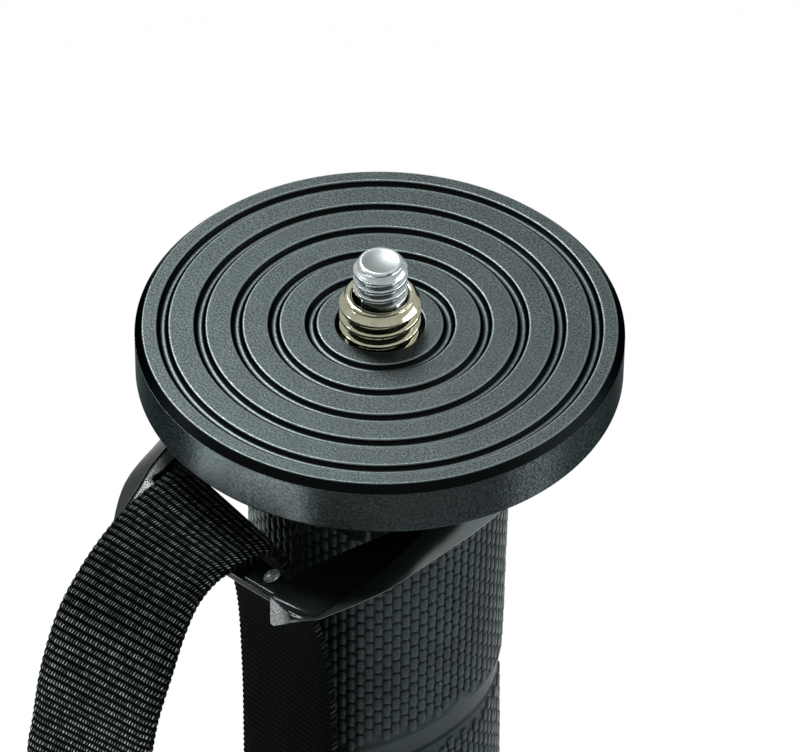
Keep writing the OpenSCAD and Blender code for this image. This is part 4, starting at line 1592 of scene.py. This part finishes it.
@dataclass
class WristStrap:
    """The webbing loop over the yoke's bar, with its ribs and its sewn lap."""

    width: float = 16.0
    thickness: float = 1.45
    rib_pitch: float = 0.92
    rib_depth: float = 0.06
    steps_per_rib: int = 4
    across: int = 12
    lap: float = 24.0
    lap_start: float = 112.0
    lap_edge: float = 0.9
    # The sides of the webbing: how thin, how far rounded in, how wavy and how much they are darkened
    edge_thin: float = 0.3
    edge_round: float = 0.9
    edge_wave: float = 0.1
    edge_darkening: float = 0.85
    stitch_pitch: float = 2.5
    stitch_w: float = 0.62
    stitch_l: float = 1.9
    stitch_t: float = 0.3
    # The box of stitches: its distance from the lap's ends, and its sides as shares of the width
    stitch_inset: float = 2.6
    stitch_sides: tuple[float, float] = (0.13, 0.87)
    length: float = field(default=0.0, init=False)
    knots: tuple[StrapKnot, ...] = (
        StrapKnot(-13.4, 27.4, 2.8, 32.1, -11.3), StrapKnot(-13.7, 32.6, 1.6, 35.8, -11.15),
        StrapKnot(-13.6, 37.8, 1.4, 40.0, -11.7), StrapKnot(-13.5, 42.3, 2.1, 44.2, -13.1),
        StrapKnot(-13.5, 46.5, 2.8, 47.9, -15.9), StrapKnot(-13.6, 49.9, 2.6, 50.9, -21.6),
        StrapKnot(-13.7, 51.8, 2.3, 52.3, -28.2), StrapKnot(-13.8, 53.2, 2.1, 53.2, -34.0),
        StrapKnot(-13.8, 54.3, 2.1, 54.3, -50.0), StrapKnot(-13.6, 54.8, 2.3, 54.8, -70.0),
        StrapKnot(-13.3, 54.2, 2.6, 54.2, -100.0), StrapKnot(-13.1, 49.2, 2.8, 49.2, -135.0),
        StrapKnot(-12.9, 41.0, 3.0, 41.0, -165.0), StrapKnot(-12.8, 32.7, 3.1, 32.7, -187.0),
        StrapKnot(-12.0, 25.0, 3.8, 26.4, -194.9), StrapKnot(-10.8, 18.6, 4.7, 20.8, -188.0),
        StrapKnot(-9.4, 16.0, 5.7, 19.0, -165.0), StrapKnot(-9.1, 15.3, 5.9, 18.6, -110.0),
        StrapKnot(-9.1, 15.3, 5.9, 18.6, -62.0), StrapKnot(-9.2, 15.4, 5.9, 18.9, -46.0),
        StrapKnot(-9.5, 16.0, 5.7, 20.2, -34.5), StrapKnot(-10.4, 18.0, 5.3, 22.8, -26.0),
        StrapKnot(-11.7, 20.2, 4.7, 25.8, -18.5), StrapKnot(-12.7, 21.1, 4.1, 27.1, -14.4),
        StrapKnot(-13.2, 23.0, 3.6, 28.8, -12.1))

    def edge_line(self, samples: int) -> list[tuple[Vector, Vector]]:
        """Far and near edge points, spaced evenly along the middle line.

        Args:
            samples: number of points round the loop.

        Returns:
            Pairs of points.
        """
        names = ("far_side", "far", "near_side", "near", "height")
        columns = [[getattr(knot, key) for knot in self.knots] for key in names]
        fine = 40 * len(self.knots)
        raw = []
        for step in range(fine + 1):
            place = step * len(self.knots) / fine
            far_side, far, near_side, near, height = (spline(column, place, True) for column in columns)
            raw.append((Vector((far_side, -far, height)), Vector((near_side, -near, height))))
        lengths = [0.0]
        for before, after in zip(raw, raw[1:]):
            lengths.append(lengths[-1] + ((after[0] + after[1]) / 2 - (before[0] + before[1]) / 2).length)
        self.length = lengths[-1]
        pairs = []
        index = 0
        for step in range(samples):
            want = self.length * step / samples
            while lengths[index + 1] < want:
                index += 1
            share = (want - lengths[index]) / (lengths[index + 1] - lengths[index])
            pairs.append(tuple(raw[index][k].lerp(raw[index + 1][k], share) for k in (0, 1)))
        return pairs

    def fold(self, along: float) -> float:
        """How much the sewn end of the webbing lies inside the loop.

        Args:
            along: distance along the loop.

        Returns:
            1 in the lap, 0 away from it.
        """
        before = min(1.0, max(0.0, (along - self.lap_start) / self.lap_edge))
        after = min(1.0, max(0.0, (self.lap_start + self.lap - along) / self.lap_edge))
        return before * after

    def side_mark(self, column: int) -> float:
        """The darkening mark of a column of faces: painted shade on the inside of the loop, less darkening on
        its edges.

        Args:
            column: the column's number, round the webbing.

        Returns:
            1 on the inside of the loop, less on its edges, 0 outside.
        """
        if column < self.across:
            return 1.0
        return self.edge_darkening if column in (self.across, 2 * self.across + 1) else 0.0

    def mesh(self) -> bpy.types.Mesh:
        """The ribbed loop, with its weave coordinates in millimetres.

        Returns:
            The loop's mesh.
        """
        # This first pass only measures the loop's length
        self.edge_line(samples=10)
        ribs = round(self.length / self.rib_pitch)
        samples = ribs * self.steps_per_rib
        pairs = self.edge_line(samples)
        bm = bmesh.new()
        weave = bm.loops.layers.uv.new("weave")
        inner_side = bm.faces.layers.float.new("inner_side")
        half = self.thickness / 2
        columns = [k / self.across for k in range(self.across + 1)]
        rows: list[list[bmesh.types.BMVert]] = []
        for index, (far, near) in enumerate(pairs):
            hump = math.sin(math.pi * (index % self.steps_per_rib) / self.steps_per_rib)
            folded = self.fold(self.length * index / samples) * self.thickness
            before = pairs[index - 1]
            after = pairs[(index + 1) % samples]
            sideways = (near - far).normalized()
            upper = []
            lower = []
            for share in columns:
                spot = far.lerp(near, share)
                ahead = after[0].lerp(after[1], share) - before[0].lerp(before[1], share)
                normal = sideways.cross(ahead).normalized()
                rim = min(share, 1 - share) * self.width
                round_edge = math.sqrt(min(1.0, self.edge_thin + rim / self.edge_round))
                lift = (half - self.rib_depth + 2 * self.rib_depth * hump) * round_edge
                if share in (0.0, 1.0):
                    wave = self.edge_wave * hump - self.edge_wave / 2
                    spot = spot + sideways * wave * (1 if share else -1)
                upper.append(bm.verts.new(spot + normal * (lift + folded)))
                lower.append(bm.verts.new(spot - normal * lift))
            rows.append(upper + lower[::-1])
        count = len(rows[0])
        for index, row in enumerate(rows):
            beside = rows[(index + 1) % samples]
            for k in range(count):
                n = (k + 1) % count
                face = bm.faces.new((row[k], beside[k], beside[n], row[n]))
                face[inner_side] = self.side_mark(k)
                for loop, (line, column) in zip(face.loops, ((0, k), (1, k), (1, k + 1), (0, k + 1))):
                    share = column if column <= self.across else 2 * self.across + 1 - column
                    loop[weave].uv = (share * self.width / self.across,
                                      (index + line) / self.steps_per_rib * self.rib_pitch)
        return to_mesh("wrist_strap_woven", bm, 60.0)

    def stitch_path(self) -> bpy.types.Object:
        """The box and cross that the stitches follow.

        Returns:
            A loose object of edges.
        """
        pairs = self.edge_line(samples=400)
        bm = bmesh.new()
        corners = []
        first = self.stitch_inset
        last = self.lap - self.stitch_inset
        far_share, near_share = self.stitch_sides
        for along, share in ((first, far_share), (first, near_share), (last, near_share), (last, far_share)):
            far, near = pairs[round((self.lap_start + along) / self.length * len(pairs))]
            corners.append(bm.verts.new(far.lerp(near, share) * MM))
        for one, other in ((0, 1), (1, 2), (2, 3), (3, 0), (0, 2), (1, 3)):
            bm.edges.new((corners[one], corners[other]))
        mesh = bpy.data.meshes.new("stitch_path")
        bm.to_mesh(mesh)
        bm.free()
        made = bpy.data.objects.new("stitch_path", mesh)
        bpy.context.scene.collection.objects.link(made)
        return made

    def stitches(self, loop: bpy.types.Object, finish: bpy.types.Material) -> bpy.types.Mesh:
        """The lap's stitches, laid on the outside of the loop.

        Args:
            loop: the strap.
            finish: the thread's finish.

        Returns:
            The stitches' mesh.
        """
        tree = GeometryTree("Strap stitches")
        path = tree.input("Path", "NodeSocketObject")
        cloth = tree.input("Cloth", "NodeSocketObject")
        shape = tree.input("Stitch", "NodeSocketObject")
        spacing = tree.input("Spacing")
        lines = tree.node("GeometryNodeMeshToCurve", {}, {0: tree.shown(path)})
        even = tree.node("GeometryNodeResampleCurve", {"mode": "LENGTH"}, {
            "Curve": lines.outputs[0], "Length": spacing})
        dots = tree.node("GeometryNodeCurveToPoints", {"mode": "EVALUATED"}, {0: even.outputs[0]})
        seat = tree.node("GeometryNodeInputPosition", {}, {})
        # Each stitch is sought from 20 mm in front of the strap
        start = tree.node("ShaderNodeVectorMath", {"operation": "ADD"}, {
            0: seat.outputs[0], 1: (0.0, -0.02, 0.0)})
        hit = tree.node("GeometryNodeRaycast", {}, {
            "Target Geometry": tree.shown(cloth), "Source Position": start.outputs[0],
            "Ray Direction": (0.0, 1.0, 0.0), "Ray Length": 0.04})
        laid = tree.node("GeometryNodeSetPosition", {}, {
            "Geometry": dots.outputs["Points"], "Position": hit.outputs["Hit Position"]})
        turn = tree.node("FunctionNodeAxesToRotation", {"primary_axis": "X", "secondary_axis": "Z"}, {
            "Primary Axis": hit.outputs["Hit Normal"], "Secondary Axis": dots.outputs["Tangent"]})
        solid = tree.copies(laid.outputs[0], shape, turn.outputs[0])
        guide = self.stitch_path()
        stitch = pad("strap_stitch", self.stitch_w, self.stitch_l, self.stitch_t, corner=0.3)
        mesh = tree.build(solid, "strap_stitches", finish, {
            "Path": guide, "Cloth": loop, "Stitch": stitch, "Spacing": self.stitch_pitch * MM})
        bpy.data.objects.remove(guide)
        bpy.data.objects.remove(stitch)
        return mesh

    def build(self, finish: bpy.types.Material, thread: bpy.types.Material) -> None:
        """Makes the strap and the stitches of its lap.

        Args:
            finish: the webbing.
            thread: the stitches' finish.
        """
        loop = piece("wrist_strap_woven", self.mesh(), finish, Body.UPPER, Slot.STRAP, ["strap"])
        sewn = piece("strap_stitches", self.stitches(loop, thread), thread, Body.UPPER, Slot.STRAP)
        log.info("%s: %.1f mm by %.1f mm when flat", loop.name, self.width, self.length + self.lap)


@dataclass(frozen=True)
class BlockField:
    """A field of raised blocks: its edges away from the strap, its radii, and how much each edge dips."""

    name: str
    top: float
    low: float
    rows: int
    top_radius: float
    low_radius: float
    swell: float
    top_dip: float
    low_dip: float


@dataclass
class HandGrip:
    """The rubber sleeve with its raised blocks and its smooth ring, which dips towards the strap."""

    columns: int = 88
    row_pitch: float = 2.09
    block_w: float = 0.93
    block_h: float = 1.88
    block_t: float = 0.3
    top: float = -15.92
    end: float = -135.92
    bore: float = 13.54
    # Radii of the low end and its lip, the groove under the smooth ring, the ring, and the neck
    end_radius: float = 14.3
    end_lip: float = 15.0
    groove: float = 14.3
    ring: float = 14.82
    neck: float = 15.6
    dip: float = 6.2
    # A higher power keeps the dip closer to the strap's side
    dip_power: float = 5.0
    upper: BlockField = BlockField("grip_upper_blocks", top=-17.0, low=-50.4, rows=19, top_radius=15.34,
                                   low_radius=15.02, swell=0.0, top_dip=0.0, low_dip=6.2)
    lower: BlockField = BlockField("grip_lower_blocks", top=-54.9, low=-133.4, rows=37, top_radius=14.8,
                                   low_radius=14.8, swell=0.45, top_dip=6.2, low_dip=0.0)

    def dip_at(self, angle: float) -> float:
        """How far the ring dips at an angle, most on the strap's side."""
        return self.dip * (0.5 - 0.5 * math.sin(angle)) ** self.dip_power

    def sleeve(self, angle: float) -> Profile:
        """The sleeve's closed profile under its blocks.

        Args:
            angle: angle around the axis.

        Returns:
            Profile points, from the bore's low end up.
        """
        dip = self.dip_at(angle)
        foot = self.lower
        end = [(self.bore, self.end, 0), (self.end_radius, self.end, 0.5),
               (self.end_lip, self.end + 1.0, 0.8), (foot.low_radius, foot.low - 0.3, 0.1)]
        points = soften(end, steps=4, closed=False)[:-1]
        start = foot.top - dip
        steps = 24
        for step in range(steps + 1):
            share = 1 - step / steps
            radius = foot.low_radius + 4 * foot.swell * share * (1 - share)
            points.append((radius, start + (foot.low - start) * share, 0.0))
        edge = self.upper.low_radius
        ring = [(foot.top_radius, foot.top, 0), (foot.top_radius, foot.top + 0.2, 0.1),
                (self.groove, foot.top + 0.7, 0.08), (self.ring, foot.top + 1.0, 0.12),
                (self.ring, foot.top + 1.4, 0.25), (edge + 0.22, self.upper.low - 0.1, 0.8),
                (edge, self.upper.low + 0.5, 0)]
        for radius, height, mark in soften(ring, steps=6, closed=False)[1:]:
            points.append((radius, height - dip, mark))
        collar = [(edge, self.upper.low + 0.8 - dip, 0), (self.upper.top_radius, self.upper.top + 0.1, 0.1),
                  (self.neck, self.top - 0.9, 0.1), (self.neck, self.top, 0.35), (self.bore, self.top, 0)]
        return points + soften(collar, steps=4, closed=False)

    def blocks(self, block: bpy.types.Object, area: BlockField, finish: bpy.types.Material) -> bpy.types.Mesh:
        """A field of blocks round the sleeve.

        Args:
            block: the block.
            area: the field.
            finish: the rubber.

        Returns:
            The field's mesh.
        """
        tree = GeometryTree(area.name)
        shape = tree.input("Block", "NodeSocketObject")
        columns = tree.input("Columns", "NodeSocketInt")
        rows = tree.input("Rows", "NodeSocketInt")
        pitch = tree.input("Row pitch")
        half = tree.input("Half block")
        top = tree.input("Top")
        low = tree.input("Low")
        first = tree.input("Top radius")
        last = tree.input("Low radius")
        bulge = tree.input("Swell")
        top_dip = tree.input("Top dip")
        low_dip = tree.input("Low dip")
        number = tree.index()
        # The small number keeps a whole quotient from being floored too low
        row = (number / columns + 0.0001).floor()
        column = number - row * columns
        angle = column * TURN / columns
        height = top - (row + 0.5 + (column % 2.0) * 0.5) * pitch
        bowl = (0.5 - 0.5 * angle.sine()) ** self.dip_power
        start = top - bowl * top_dip
        stop = low - bowl * low_dip
        share = (start - height) / (start - stop)
        radius = first + (last - first) * share + 4 * bulge * share * (1 - share)
        points = tree.node("GeometryNodePoints", {}, {
            "Count": columns * rows,
            "Position": tree.vector(radius * angle.cosine(), radius * angle.sine(), height)})
        spread = tree.chance(0.88, 1.12, 7)
        turn = tree.vector(tree.chance(-0.03, 0.03, 11), 0.0, angle)
        outside = (height + half - start).most(stop - height + half)
        solid = tree.copies(points.outputs[0], shape, turn, tree.vector(spread, 1.0, 1.0), outside)
        return tree.build(solid, area.name, finish, {
            "Block": block, "Columns": self.columns, "Rows": area.rows, "Row pitch": self.row_pitch * MM,
            "Half block": self.block_h / 2 * MM, "Top": area.top * MM, "Low": area.low * MM,
            "Top radius": area.top_radius * MM, "Low radius": area.low_radius * MM, "Swell": area.swell * MM,
            "Top dip": area.top_dip * MM, "Low dip": area.low_dip * MM})

    def build(self, finish: bpy.types.Material) -> None:
        """Makes the sleeve and its two fields of blocks.

        Args:
            finish: the rubber.
        """
        sleeve = turned("grip_sleeve", self.sleeve, segments=164, sharp=50.0)
        piece("grip_sleeve", sleeve, finish, Body.UPPER, Slot.GRIP, ["grip"])
        block = pad("grip_block", self.block_w, self.block_h, self.block_t, corner=0.3)
        for area in (self.upper, self.lower):
            piece(area.name, self.blocks(block, area, finish), finish, Body.UPPER, Slot.GRIP)
        bpy.data.objects.remove(block)


@dataclass
class LegLock:
    """A leg lock: its clamp collar and its cam lever, with rounded edges and finger ridges on the handle."""

    collar: str
    lever: str
    collar_body: Body
    lever_body: Body
    middle: float
    handle: float
    first_ridge: float = 82.0
    ridge_step: float = 4.4
    ridges: int = 8
    ridge_w: float = 0.95
    ridge_l: float = 10.2
    ridge_t: float = 0.42
    collar_edge: float = 0.6
    lever_edge: float = 0.7
    collar_grain: float = 0.7
    lever_grain: float = 0.45

    def ridge_field(self, finish: bpy.types.Material) -> bpy.types.Mesh:
        """Finger ridges round the outside of the handle.

        Args:
            finish: the lever's finish.

        Returns:
            The ridges' mesh.
        """
        tree = GeometryTree(self.lever + " ridges")
        shape = tree.input("Ridge", "NodeSocketObject")
        count = tree.input("Count", "NodeSocketInt")
        first = tree.input("First angle")
        step = tree.input("Step")
        radius = tree.input("Radius")
        height = tree.input("Height")
        angle = first + tree.index() * step
        points = tree.node("GeometryNodePoints", {}, {
            "Count": count, "Position": tree.vector(radius * angle.cosine(), radius * angle.sine(), height)})
        solid = tree.copies(points.outputs[0], shape, tree.vector(0.0, 0.0, angle))
        ridge = pad(self.lever + "_ridge", self.ridge_w, self.ridge_l, self.ridge_t, corner=0.4)
        mesh = tree.build(solid, self.lever + "_ridges", finish, {
            "Ridge": ridge, "Count": self.ridges, "First angle": math.radians(self.first_ridge),
            "Step": math.radians(self.ridge_step), "Radius": self.handle * MM, "Height": self.middle * MM})
        bpy.data.objects.remove(ridge)
        return mesh

    def build(self, collar_finish: bpy.types.Material, lever_finish: bpy.types.Material) -> None:
        """Makes the collar and the lever.

        Args:
            collar_finish: the collar's finish.
            lever_finish: the lever's finish.
        """
        collar = softened_copy(self.collar, self.collar + "_moulded", self.collar_edge)
        mark_faces(collar, "grained", lambda normal, centre: self.collar_grain)
        piece(collar.name, collar, collar_finish, self.collar_body, Slot.LOCK, [self.collar])
        handle = softened_copy(self.lever, self.lever + "_smooth", self.lever_edge)
        mark_faces(handle, "grained", lambda normal, centre: self.lever_grain)
        lever = joined(self.lever + "_moulded", [handle, self.ridge_field(lever_finish)])
        piece(lever.name, lever, lever_finish, self.lever_body, Slot.LEVER, [self.lever])


@dataclass
class RubberFoot:
    """The rubber foot, with grip rings round its sleeve and tread rings in its sole."""

    top: float = -631.0
    tube_end: float = -647.0
    sole: float = -665.0
    sleeve: float = 12.0
    base: float = 14.0
    rounding: float = 5.0
    tube: float = 9.54
    stud: float = 4.04
    flange: float = 3.0
    stud_l: float = 7.0
    first_ring: float = 3.4
    ring_pitch: float = 3.0
    rings: int = 3
    ring_depth: float = 0.6
    treads: tuple[float, ...] = (5.4, 2.7)
    tread_depth: float = 0.8

    def profile(self) -> Profile:
        """The foot's open profile.

        Returns:
            Profile points, from the axis in its bore to the axis in its sole.
        """
        seat = self.tube_end - self.flange
        stud_end = seat - self.stud_l
        inside: Profile = [(0.0, stud_end, 0.0), (self.stud, stud_end, 0.0), (self.stud, seat, 0.0)]
        dent = self.sleeve - self.ring_depth
        corners = [(self.tube, seat, 0), (self.tube, self.top, 0), (self.sleeve, self.top, 0.9)]
        for index in range(self.rings):
            middle = self.top - self.first_ring - index * self.ring_pitch
            corners += [(self.sleeve, middle + 0.8, 0.2), (dent, middle + 0.45, 0.15),
                        (dent, middle - 0.45, 0.15), (self.sleeve, middle - 0.8, 0.2)]
        corners += [(self.sleeve, self.tube_end + self.flange, 1.2), (self.base, seat, 2.0),
                    (self.base, self.sole, self.rounding)]
        roof = self.sole + self.tread_depth
        for radius in self.treads:
            corners += [(radius + 0.7, self.sole, 0.15), (radius + 0.4, roof, 0.15),
                        (radius - 0.4, roof, 0.15), (radius - 0.7, self.sole, 0.15)]
        corners.append((0.0, self.sole, 0))
        return inside + soften(corners, steps=4, closed=False)

    def build(self, finish: bpy.types.Material) -> None:
        """Makes the foot.

        Args:
            finish: the rubber.
        """
        outline = self.profile()
        mesh = turned("rubber_foot_ringed", lambda angle: outline, segments=144, closed=False, sharp=50.0)
        piece("rubber_foot_ringed", mesh, finish, Body.LOWER, Slot.FOOT, ["rubber_foot"])


@dataclass(frozen=True)
class Lamp:
    """An area light: its place round the plate, its width and height in metres, and its power in watts."""

    name: str
    side: float
    up: float
    distance: float
    size: tuple[float, float]
    power: float


@dataclass
class Studio:
    """The floor, the light and the camera."""

    # The photograph's camera, in degrees, millimetres and pixels
    azimuth: float = 32.0
    elevation: float = 40.91
    distance: float = 647.55
    focal_px: float = 5580.0
    roll: float = 0.58
    aim_px: tuple[float, float] = (380.0, 322.5)
    sensor: float = 36.0
    floor_half: float = 40000.0
    floor_gap: float = 0.5
    floor_glow: float = 0.97
    diffuse_level: float = 0.11
    lamp_aim: float = -20.0
    lamps: tuple[Lamp, ...] = (
        Lamp("back_softbox", 206, 52, 1300, (0.42, 0.36), 21),
        Lamp("left_softbox", -58, -25, 650, (0.54, 0.28), 10.5),
        Lamp("left_key", -97, 28, 900, (0.14, 0.14), 1.3),
        Lamp("right_softbox", 88, 14, 1100, (0.85, 0.65), 9),
        Lamp("right_low_softbox", 68, -12, 900, (0.32, 0.24), 4.0))

    def around(self, side: float, up: float, distance: float) -> Vector:
        """A place round the plate, in metres.

        Args:
            side: degrees to the right of the camera, seen from above the object.
            up: degrees above the plate.
            distance: millimetres from the plate's middle.

        Returns:
            The place.
        """
        a = math.radians(self.azimuth + side)
        e = math.radians(up)
        return Vector((math.sin(a) * math.cos(e), -math.cos(a) * math.cos(e), math.sin(e))) * distance * MM

    def camera(self) -> None:
        """Makes the camera of the photograph."""
        e = math.radians(self.elevation)
        back = Vector((0, -math.cos(e), math.sin(e)))
        right = Vector((1, 0, 0))
        base = Matrix((right, back.cross(right), back)).transposed()
        aim = Vector(((self.aim_px[0] - PHOTO_W / 2) / self.focal_px,
                      (PHOTO_H / 2 - self.aim_px[1]) / self.focal_px, -1)).normalized()
        turn = aim.rotation_difference(Vector((0, 0, -1))).to_matrix()
        orbit = Matrix.Rotation(math.radians(self.azimuth), 3, "Z")
        rotation = orbit @ base @ Matrix.Rotation(math.radians(self.roll), 3, "Z") @ turn
        data = bpy.data.cameras.new("photo_camera")
        data.sensor_width = self.sensor
        data.lens = self.focal_px * self.sensor / PHOTO_W
        data.clip_start = 0.01
        data.clip_end = 100
        made = bpy.data.objects.new("photo_camera", data)
        bpy.context.scene.collection.objects.link(made)
        made.matrix_world = Matrix.Translation(orbit @ back * self.distance * MM) @ rotation.to_4x4()
        bpy.context.scene.camera = made

    def light(self, lamp: Lamp) -> None:
        """Makes an area light that looks at the grip's top.

        Args:
            lamp: the light.
        """
        data = bpy.data.lights.new(lamp.name, "AREA")
        data.shape = "RECTANGLE"
        data.size, data.size_y = lamp.size
        data.energy = lamp.power
        made = bpy.data.objects.new(lamp.name, data)
        bpy.context.scene.collection.objects.link(made)
        place = self.around(lamp.side, lamp.up, lamp.distance)
        target = Vector((0, 0, self.lamp_aim * MM))
        made.location = place
        made.visible_camera = False
        made.rotation_mode = "QUATERNION"
        made.rotation_quaternion = (target - place).to_track_quat("-Z", "Y")

    def seen(self, owner: NodeBuilder) -> Value:
        """Tells what a ray is for.

        Args:
            owner: the builder of the tree that asks.

        Returns:
            1 for rays that show the background, 0 for rays that only light the object.
        """
        path = owner.node("ShaderNodeLightPath", {}, {})
        shown = Value(owner, path.outputs["Is Camera Ray"])
        for name in ("Is Glossy Ray", "Is Transmission Ray"):
            shown = shown.most(Value(owner, path.outputs[name]))
        return shown

    def world(self) -> None:
        """Makes the white surroundings."""
        made = bpy.data.worlds.new("studio")
        made.use_nodes = True
        owner = NodeBuilder(made.node_tree)
        sky = made.node_tree.nodes["Background"]
        level = self.diffuse_level + (1 - self.diffuse_level) * self.seen(owner)
        owner.feed(sky.inputs["Strength"], level)
        owner.feed(sky.inputs["Color"], (1.0, 1.0, 1.0))
        bpy.context.scene.world = made

    def floor(self, height: float) -> None:
        """Makes the pale floor, which stays under the foot however far the tubes slide out.

        Args:
            height: its height in metres.
        """
        bm = bmesh.new()
        half = self.floor_half * MM
        square = ((-half, -half), (half, -half), (half, half), (-half, half))
        bm.faces.new([bm.verts.new((x, y, height)) for x, y in square])
        mesh = bpy.data.meshes.new("floor")
        bm.to_mesh(mesh)
        bm.free()
        made = Surface("floor_paper")
        fibre = made.grain(made.place(), 0.02, 4.0)
        tone = made.blend(fibre.rise(0.3, 0.7), (0.9, 0.9, 0.9), (0.94, 0.94, 0.94))
        made.finish(Base_Color=tone, Roughness=0.9, Specular_IOR_Level=0.1)
        glow = made.node("ShaderNodeEmission", {}, {"Color": (1.0, 1.0, 1.0), "Strength": 1.0})
        mixed = made.node("ShaderNodeMixShader", {}, {
            0: self.seen(made) * self.floor_glow, 1: made.shader.outputs[0], 2: glow.outputs[0]})
        made.tree.links.new(mixed.outputs[0], made.output.inputs["Surface"])
        mesh.materials.append(made.material)
        ground = bpy.data.objects.new("floor", mesh)
        bpy.context.scene.collection.objects.link(ground)
        ground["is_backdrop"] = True
        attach(ground, Body.LOWER.value)

    def build(self, sole: float) -> None:
        """Makes the camera, the light and the floor.

        Args:
            sole: height of the foot's sole in metres.
        """
        bpy.context.scene.view_settings.view_transform = "Standard"
        self.camera()
        self.world()
        self.floor(sole - self.floor_gap * MM)
        for lamp in self.lamps:
            self.light(lamp)


def main() -> None:
    """Builds the sub-assemblies in order and lights them."""
    logging.basicConfig(level=logging.INFO, format="%(name)s: %(message)s")
    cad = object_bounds()
    plate_alloy = BlastedAlloy("plate_alloy", (0.048, 0.0585, 0.059), hollow=(0.003, 0.0037, 0.0038)).build()
    # The wall's alloy is the plate's alloy painted about a third darker, as painted shade
    wall_alloy = TurnedAlloy("wall_alloy", (0.032, 0.039, 0.04)).build()
    neck_alloy = BlastedAlloy("neck_alloy", (0.2, 0.21, 0.21), hollow=(0.05, 0.05, 0.05)).build()
    nickel = TurnedMetal("stud_nickel", (0.36, 0.355, 0.26), roughness=0.12).build()
    steel = TurnedMetal("pin_steel", (0.36, 0.4, 0.4), roughness=0.24).build()
    screw_steel = TurnedMetal("screw_steel", (0.42, 0.43, 0.44), roughness=0.3).build()
    yoke_plastic = MouldedPlastic("yoke_plastic", (0.003, 0.004, 0.0041), roughness=0.18, grain_size=0.12,
                                  gloss=0.22, sparkle=0.95).build()
    lock_plastic = MouldedPlastic("lock_plastic", (0.016, 0.017, 0.018), roughness=0.42).build()
    lever_plastic = MouldedPlastic("lever_plastic", (0.022, 0.024, 0.025), roughness=0.38).build()
    guide_plastic = MouldedPlastic("guide_plastic", (0.55, 0.54, 0.5), roughness=0.45).build()
    grip_rubber = MouldedRubber("grip_rubber", (0.026, 0.034, 0.035), roughness=0.38).build()
    foot_rubber = MouldedRubber("foot_rubber", (0.013, 0.014, 0.015), roughness=0.6).build()
    tube_alloy = AnodisedTube("tube_alloy", (0.034, 0.036, 0.038)).build()
    thread = MouldedPlastic("stitch_thread", (0.03, 0.034, 0.035), roughness=0.6).build()
    strap = WristStrap()
    webbing = Webbing("strap_webbing", (0.22, 0.255, 0.26), gap=(0.001, 0.0013, 0.0014),
                      rib_pitch=strap.rib_pitch).build()
    CameraPlate().build(plate_alloy, wall_alloy)
    CameraScrews().build(nickel, steel, screw_steel)
    StrapYoke().build(yoke_plastic)
    strap.build(webbing, thread)
    HandGrip().build(grip_rubber)
    locks = (
        LegLock("upper_collar", "upper_lever", Body.UPPER, Body.UPPER_LEVER, middle=-581.0, handle=22.3),
        LegLock("lower_collar", "lower_lever", Body.MIDDLE, Body.LOWER_LEVER, middle=-619.0, handle=20.3))
    for lock in locks:
        lock.build(lock_plastic, lever_plastic)
    RubberFoot().build(foot_rubber)
    dressed = (
        (screw_steel, ("plate_screws", "neck_screws", "upper_collar_screws", "lower_collar_screws",
                       "upper_eye_bolt", "upper_bolt_nut", "upper_lever_pin", "lower_eye_bolt",
                       "lower_bolt_nut", "lower_lever_pin", "spring_plug")),
        (neck_alloy, ("neck_plug",)),
        (tube_alloy, ("upper_tube", "middle_tube", "lower_tube")),
        (guide_plastic, ("middle_guide", "lower_guide", "upper_shim", "lower_shim")),
        (lock_plastic, ("foot_plug",)))
    for material, nodes in dressed:
        for node in nodes:
            dress(node, material)
    Studio().build(cad[0].z)


if __name__ == "__main__":
    main()
